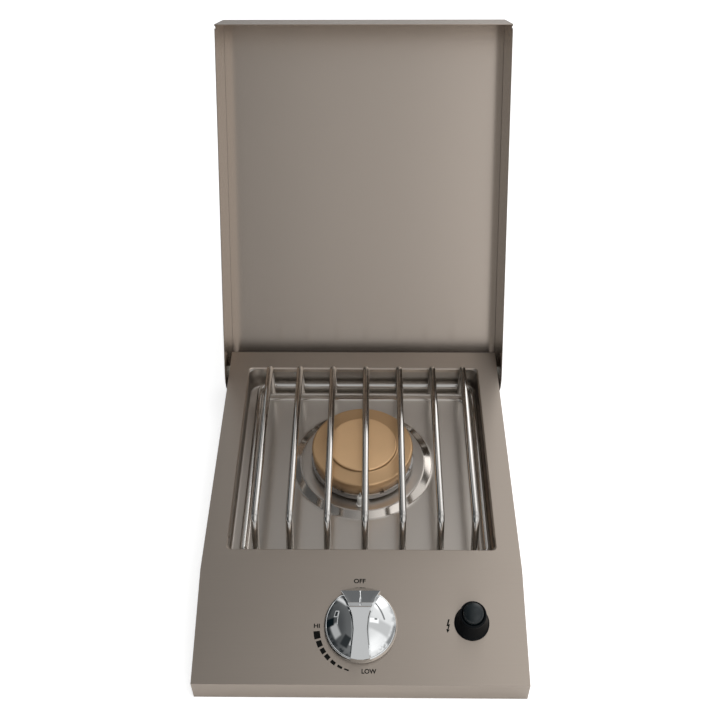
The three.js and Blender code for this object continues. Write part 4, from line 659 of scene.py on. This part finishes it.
head_section = np.array([(25, 7.7), (38.5, 7.7), (38.5, 23.1), (49, 23.1), (58.3, 25.9), (59.3, 26.5), (59.5, 27.2),
                         (59.5, 32.4), (59.2, 33.2), (58.4, 33.5), (50.5, 33.5), (50.5, 37.5), (47, 37.5), (47, 29),
                         (25, 20), (25, 7.7)])
head_points, head_faces = turned(head_section, 0, burner_y, ring_steps)
head_points = head_points.reshape(len(head_section), ring_steps, 3)
turn = np.linspace(0, 2 * np.pi, ring_steps, endpoint=False)
port = np.abs((turn / (2 * np.pi) * 16 + 0.5) % 1 - 0.5) * 2 * np.pi * 59 / 16 < 1.6
head_points[7:11, port, 2] -= np.array([0, 2.2, 2.2, 2.2])[:, None]
cast = plain("cast aluminium", (0.52, 0.51, 0.5), 0.38, metallic=1, speckle=0.12, bump=0.25, scale=900)
smooth_piece("head", head_points.reshape(-1, 3), head_faces, cast, "housing", "burner_head", "cast_aluminium")

# Burner cap: turned brass with a raised disc on its top and fine tool rings. It
# sits on the head's rim and lifts off for cleaning.
cap_section = [(0, 46.5), (51.4, 46.5), (52, 45.9), (52, 34.1), (52.3, 33.8), (57.1, 33.8), (57.5, 34.2),
               (58.35, 48.4), (58.25, 49.3), (57.7, 50.2), (56.8, 50.7), (55.6, 50.8), (41.4, 50.8), (40.5, 51.0),
               (39.9, 51.6), (39.5, 53.2), (39.2, 53.9), (38.5, 54.25), (37.6, 54.3), (20, 54.3), (0, 54.3)]
cap_points, cap_faces = turned(cap_section, 0, burner_y, 192)


def turned_brass(name, colour, rough):
    """Lathe-turned brass: rings about the piece's own axis in the bump, made
    from the distance to the axis, with a soft patina from noise."""
    material = bpy.data.materials.new(name)
    material.use_nodes = True
    nodes, links = material.node_tree.nodes, material.node_tree.links
    shader = nodes["Principled BSDF"]
    shader.inputs["Metallic"].default_value = 1
    place = nodes.new("ShaderNodeTexCoord")
    centring = nodes.new("ShaderNodeMapping")
    centring.inputs["Location"].default_value = (0, -burner_y * MM, 0)
    rings = nodes.new("ShaderNodeTexWave")
    rings.wave_type, rings.rings_direction = "RINGS", "Z"
    rings.inputs["Scale"].default_value = 260
    rings.inputs["Distortion"].default_value = 0.6
    links.new(place.outputs["Object"], centring.inputs["Vector"])
    links.new(centring.outputs[0], rings.inputs["Vector"])
    patina = nodes.new("ShaderNodeTexNoise")
    patina.inputs["Scale"].default_value = 28
    patina.inputs["Detail"].default_value = 4
    links.new(place.outputs["Object"], patina.inputs["Vector"])
    tone = nodes.new("ShaderNodeMix")
    tone.data_type = "RGBA"
    tone.inputs["A"].default_value = [c * 0.9 for c in colour] + [1]
    tone.inputs["B"].default_value = [min(1, c * 1.06) for c in colour] + [1]
    links.new(patina.outputs["Fac"], tone.inputs["Factor"])
    links.new(tone.outputs["Result"], shader.inputs["Base Color"])
    # painted light and shade by height: the raised disc's top is lightest, the rim a little darker and the step at
    # the disc's foot darkest; the top is also less metallic, so it takes more lamp light
    by_height(material, "Z", [(46, 0.82), (50.2, 0.82), (50.7, 0.72), (51.2, 0.72), (51.6, 0.35), (52.6, 0.45),
                              (53.9, 1.0), (54.2, 0.9), (60, 0.9)], "Base Color", follow=True)
    by_height(material, "Z", [(50, 0.8), (52.5, 0.8), (53.6, 0.68), (60, 0.68)], "Metallic")
    polish = nodes.new("ShaderNodeMapRange")
    polish.inputs["To Min"].default_value = rough * 0.85
    polish.inputs["To Max"].default_value = rough * 1.2
    links.new(patina.outputs["Fac"], polish.inputs["Value"])
    links.new(polish.outputs["Result"], shader.inputs["Roughness"])
    bump = nodes.new("ShaderNodeBump")
    bump.inputs["Strength"].default_value = 0.06
    bump.inputs["Distance"].default_value = 0.0002
    links.new(rings.outputs["Fac"], bump.inputs["Height"])
    links.new(bump.outputs[0], shader.inputs["Normal"])
    return material


cap_brass = turned_brass("turned brass", (0.96, 0.62, 0.34), 0.34)
smooth_piece("cap", cap_points, cap_faces, cap_brass, "cap", "burner_cap", "brass_cap", angle=50)

# Electrode: a glazed white insulator that stands through the pan in front of the
# burner, with a bent wire tip that the spark jumps from.
glaze = plain("white glaze", (0.82, 0.8, 0.76), 0.22, speckle=0.03, scale=200, coat=0.3)
rod_section = [(0, 12), (3.4, 12), (3.4, 23.1), (3.8, 23.1), (4.2, 23.4), (4.2, 24.8), (3.8, 25.1), (3.4, 25.1),
               (3.3, 30), (3.3, 36.6), (3.0, 37.4), (2.3, 37.8), (0, 37.8)]
smooth_piece("insulator", *turned(rod_section, -2.3, 4.8, 40), glaze, "housing", "electrode_ceramic", "ceramic")

# Grate: seven polished 8 mm rods, each bent down into a leg at the back and into a
# slope at the front, welded to a rod frame that stands on the pan's ledge.


def route(corners, radius, steps):
    """Straight runs with their corners rounded by arcs of one radius."""
    corners = np.asarray(corners, float)
    bends = []
    for before, here, after in zip(corners, corners[1:], corners[2:]):
        into = (here - before) / np.linalg.norm(here - before)
        on = (after - here) / np.linalg.norm(after - here)
        bend = math.acos(np.clip(into @ on, -1, 1))
        start = here - into * radius * math.tan(bend / 2)
        side = on - into * (on @ into)
        side /= np.linalg.norm(side)
        middle = start + side * radius
        a = np.linspace(0, bend, steps)[:, None]
        bends.append(middle + into * radius * np.sin(a) - side * radius * np.cos(a))
    return np.vstack([corners[:1], *bends, corners[-1:]])


def rod(line, radius, sides, cap=True):
    """A round rod along a line that stays in one upright plane or one level plane:
    each ring is the point plus radius times (cosine times the plane's normal plus
    sine times the cross of heading and normal), with slightly domed ends."""
    ahead = np.gradient(line, axis=0)
    ahead /= np.linalg.norm(ahead, axis=1, keepdims=True)
    shares = np.ones(len(line))
    if cap:
        first, last = line[0], line[-1]
        line = np.vstack([first, first, first + ahead[0] * 0.3, first + ahead[0] * 0.8, line[1:-1],
                          last - ahead[-1] * 0.8, last - ahead[-1] * 0.3, last, last])
        shares = np.concatenate([[0, 0.82, 0.97], shares, [0.97, 0.82, 0]])
        ahead = np.vstack([np.repeat(ahead[:1], 3, 0), ahead, np.repeat(ahead[-1:], 3, 0)])
    normal = np.array([1.0, 0, 0]) if np.ptp(line[:, 0]) < 1e-6 else np.array([0, 0, 1.0])
    a = np.linspace(0, 2 * np.pi, sides, endpoint=False)[None, :, None]
    ring = np.cos(a) * normal + np.sin(a) * np.cross(ahead, normal)[:, None]
    points = line[:, None] + ring * radius * shares[:, None, None]
    return points.reshape(-1, 3), grid_faces(len(line), sides, True)


rod_finish = brushed("polished rod", (0.68, 0.655, 0.625), 0.12, grain=(400, 8, 400), depth=0.01, patch=0.05,
                     smear=0.04)
rod_radius, rod_sides = 4, 28
bar_z, rail_z = 72.8, 34.1
rail_mid, rail_left, rail_right, rail_back, rail_front = 3.8, -127.6, 135.2, 180.1, -72
bar_x = [rail_mid + offset for offset in (-117, -80.3, -40.1, 0, 40.1, 80.3, 117)]
for number, x in enumerate(bar_x):
    line = route([(x, 175.9, 26.9), (x, 175.9, bar_z), (x, -48, bar_z), (x, -68.6, 28.6)], 9, 14)
    smooth_piece(f"bar_{number + 1}", *rod(line, rod_radius, rod_sides), rod_finish, "grate",
                 f"grate_bar_{number + 1}", "polished_steel")
frame_line = route([(rail_mid, rail_back, rail_z), (rail_right, rail_back, rail_z), (rail_right, rail_front, rail_z),
                    (rail_left, rail_front, rail_z), (rail_left, rail_back, rail_z), (rail_mid, rail_back, rail_z)],
                   12, 12)
frame_points, frame_faces = rod(frame_line[:-1], rod_radius, rod_sides, cap=False)
last_ring = len(frame_points) - rod_sides
side = np.arange(rod_sides)
next_side = (side + 1) % rod_sides
joinup = np.stack([last_ring + side, last_ring + next_side, next_side, side], 1)
smooth_piece("grate_rim", frame_points, np.vstack([frame_faces, joinup]), rod_finish, "grate", "grate_frame",
             "polished_steel")

# Knob: die-cast zinc, chrome plated. A round skirt carries a low dome, and a waisted
# grip bar stands across it, from a square tail to a bow-shaped pointer end with a
# facet that falls to the skirt and a fine pointer groove down its middle.
knob_down = 57.5


def on_slope(points, across=0.0, down=0.0):
    """Points given in millimetres about a spot on the slope, moved to that spot and
    turned with the panel: the panel's matrix times each point, plus its corner."""
    turned_by = np.array(panel_frame)[:3, :3]
    return (np.asarray(points) + [across, -down, 0]) @ turned_by.T + np.array(panel_frame)[:3, 3] / MM


def knob_height(y):
    """Height of the grip's top above the panel: a ramp from the tail to the crest, two
    small steps, then the facet down to the pointer's edge and a steep fall to the skirt."""
    return np.interp(y, [-36.5, 12.1, 12.5, 13.4, 13.8, 17.0, 17.4, 30.8, 36.5],
                     [20.2, 28.2, 28.2, 27.3, 27.3, 26.6, 25.9, 19.2, 9.7])


def knob_half(y):
    """Half width of the grip: narrow in the middle, wider at the tail, spread to the
    full skirt at the pointer's end."""
    spots = [-36.5, -30, -19, -8.2, 3.7, 12.6, 20, 27, 30.8, 36.5]
    widths = [9.8, 8.9, 7.8, 6.75, 7.9, 10.8, 13.6, 17.4, 19.75, 24]
    steps = np.linspace(-36.5, 36.5, 400)
    fine = np.convolve(np.pad(np.interp(steps, spots, widths), 12, mode="edge"), np.ones(25) / 25, mode="valid")
    return np.interp(y, steps, fine)


rim, skirt_edge, dome_radius = 34.4, 36.45, 56.0
rows = np.unique(np.concatenate([skirt_edge * np.sin(np.linspace(-np.pi / 2, np.pi / 2, 110)[1:-1]),
                                 [12.1, 12.5, 13.4, 13.8, 17.0, 17.4, 30.8, -34.3, 34.3]]))
outer = np.sqrt(skirt_edge ** 2 - rows ** 2)
half = np.minimum(knob_half(rows), outer)
edge = np.maximum(np.sqrt(np.maximum(rim ** 2 - rows ** 2, 0)), half)
crest = knob_height(rows)
share = np.linspace(1, 0, 22)
dome_start = np.minimum(half + 1.4, edge)
dome_x = dome_start[:, None] + (edge - dome_start)[:, None] * share
dome_drop = dome_radius - np.sqrt(dome_radius ** 2 - dome_x ** 2 - rows[:, None] ** 2)
dome_z = np.minimum(8.8 + (dome_radius - math.sqrt(dome_radius ** 2 - rim ** 2)) - dome_drop, crest[:, None] - 0.6)
shoulder_x = np.stack([half, half - 0.35], 1)
shoulder_z = np.stack([crest - 0.45, crest - 0.05], 1)
over = np.sinh(np.linspace(-3, 3, 33)[1:-1]) / math.sinh(3)
over_x = (half[:, None] - 0.35) * over
groove = np.clip(1.5 - np.abs(over_x) / 0.4, 0, 1) * (rows > 14.2)[:, None] * (rows < 30.5)[:, None]
over_z = crest[:, None] - 0.5 * groove
knob_x = np.hstack([-dome_x, -shoulder_x, over_x, shoulder_x[:, ::-1], dome_x[:, ::-1]])
knob_z = np.hstack([dome_z, shoulder_z, over_z, shoulder_z[:, ::-1], dome_z[:, ::-1]])
knob_y = np.repeat(rows[:, None], knob_x.shape[1], 1)
knob_top = np.stack([knob_x, knob_y, knob_z], -1).reshape(-1, 3)
knob_top_faces = grid_faces(len(rows), knob_x.shape[1], False)
ends = knob_top.reshape(len(rows), -1, 3)[[0, -1]]
end_low = ends.copy()
end_low[..., 2] = 8.8
end_points = np.stack([ends, end_low], 1).reshape(-1, 3)
columns = knob_x.shape[1]
end_faces = np.vstack([grid_faces(2, columns, False), grid_faces(2, columns, False)[:, ::-1] + 2 * columns])
skirt_section = [(0, 6), (33.0, 6), (33.0, 2.6), (36.2, 2.6), (36.6, 3.0), (36.55, 4.2), (36.2, 6.0),
                 (35.7, 7.6), (35.2, 8.7), (34.7, 9.3), (34.2, 9.5), (33.8, 9.3), (33.4, 8.6)]
skirt_points, skirt_faces = turned(skirt_section, 0, 0, 160)
knob_points = np.vstack([knob_top, end_points, skirt_points])
knob_faces = np.vstack([knob_top_faces, end_faces + len(knob_top), skirt_faces + len(knob_top) + len(end_points)])
mirror = plain("chrome", (0.82, 0.83, 0.83), 0.035, metallic=1, speckle=0.02, bump=0.015, scale=60)
smooth_piece("control_knob", on_slope(knob_points, 0, knob_down), knob_faces, mirror, "knob", "knob",
             "chrome_knob", angle=30)

# Igniter: a black moulded collar with a lip round its top and a domed push button.
# It leans up the slope, so each ring of its section is slid up by a share of its height.
lean = 0.2546


def leaning(profile, steps=72):
    """Turned section on the panel whose rings slide up the slope with height."""
    points, faces = turned(profile, 0, 0, steps)
    points[:, 1] += lean * points[:, 2]
    return on_slope(points, 110.9, 54), faces


moulded = plain("black moulding", (0.005, 0.009, 0.011), 0.32, speckle=0.2, bump=0.06, scale=500)
collar_section = [(9.4, -24), (12, -24), (12, 0.3), (17.0, 0.3), (17.5, 0.7), (17.5, 1.5), (17.2, 1.9), (16.6, 2.1),
                  (16.2, 2.7), (13.6, 15.4), (13.3, 16.4), (13.4, 16.8), (13.3, 17.6), (12.9, 18.3), (12.3, 18.5),
                  (11.5, 18.4), (11.0, 17.9), (10.9, 17.2), (10.9, 3.1), (9.4, 3.1), (9.4, -24)]
matt_moulded = plain("matt black moulding", (0.002, 0.003, 0.004), 0.45, speckle=0.2, bump=0.06, scale=500,
                     shine=0.14)
smooth_piece("ignition_collar", *leaning(collar_section), matt_moulded, "housing", "igniter_collar", "black_plastic")
button_section = [(0, -16), (3.4, -16), (3.4, 7.5), (10.3, 7.5), (10.4, 7.8), (10.4, 20.0), (10.1, 21.2), (9.3, 22.5),
                  (7.8, 23.6), (5.4, 24.5), (2.8, 25.0), (0, 25.1)]
smooth_piece("ignition_button", *leaning(button_section), moulded, "button", "igniter_button", "black_plastic")

# Lid: one sheet of brushed stainless folded into a cover with sides and a front
# wall, open at the back. It turns on two bolts and leans on rests when open.
# Its sides are darker than its panel, the right one most: painted shade.
stainless = brushed("brushed stainless lid", (0.55, 0.475, 0.41), 0.23, grain=(4, 500, 500), depth=0.03,
                    anisotropy=0.95)
by_height(stainless, "X", [(-169.6, 0.68), (-168.4, 0.68), (-168.2, 1), (168.2, 1), (168.4, 0.62), (169.6, 0.62)],
          "Base Color", follow=True)
lean_back = math.radians(32.5)
lid = rounded_copy("lid_shell", "lid", stainless, 0.45 * MM, (0, math.sin(lean_back), math.cos(lean_back)),
                   (0, -math.cos(lean_back), math.sin(lean_back)))
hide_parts("lid_shell")
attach(lid, "lid")

# Springs: the coils under the valve's stem and under the igniter's button. Each is
# the CAD coil, copied with its doubles merged and shaded smooth.
zinc = brushed("zinc plated", (0.5, 0.5, 0.49), 0.34, grain=(200, 200, 200), depth=0.05, patch=0.08)
across_panel = np.array(panel_frame)[:3, 2]
leaning_axis = np.array([0, -0.047178, 0.998886])
for node, fixed, pressed, axis in (("valve_spring", "rotor", "knob", across_panel),
                                   ("igniter_spring", "housing", "button", leaning_axis)):
    shape = bmesh.new()
    shape.from_mesh(frame["nodes"][node].data)
    bmesh.ops.remove_doubles(shape, verts=shape.verts, dist=1e-6)
    for face in shape.faces:
        face.smooth = True
    mesh = bpy.data.meshes.new(node + "_coil")
    shape.to_mesh(mesh)
    shape.free()
    mesh.materials.append(zinc)
    coil = bpy.data.objects.new(node + "_coil", mesh)
    scene.collection.objects.link(coil)
    flat = np.zeros(len(mesh.vertices) * 3)
    mesh.vertices.foreach_get("co", flat)
    points = flat.reshape(-1, 3)
    middle = points.mean(0)
    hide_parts(node)
    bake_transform(coil)

# Fasteners, brackets, valve, venturi, supply tube and housing keep their CAD
# shapes and get the finish that each is made in.
fittings = plain("machined brass", (0.72, 0.5, 0.24), 0.3, metallic=1, speckle=0.08, bump=0.05, scale=300)
sheet = brushed("mill finish stainless", (0.5, 0.48, 0.46), 0.34, grain=(5, 400, 400), depth=0.03)
gum = plain("black rubber", (0.016, 0.016, 0.016), 0.75, speckle=0.2, bump=0.2, scale=900)
natural = plain("natural nylon", (0.74, 0.72, 0.66), 0.45, speckle=0.04, bump=0.05)
finishes = {"stainless": sheet, "polished_steel": rod_finish, "plated_steel": zinc, "brass_cap": cap_brass,
            "brass_fitting": fittings, "cast_aluminium": cast, "chrome_knob": mirror, "black_plastic": moulded,
            "black_rubber": gum, "nylon": natural, "ceramic": glaze}
slots = {row["node"]: row["material_slot"] for row in frame["record"]["subparts"]}
for node, slot in slots.items():
    piece = bpy.data.objects.get(node)
    if piece is None or piece.hide_render:
        continue
    piece.data.materials.clear()
    piece.data.materials.append(finishes[slot])
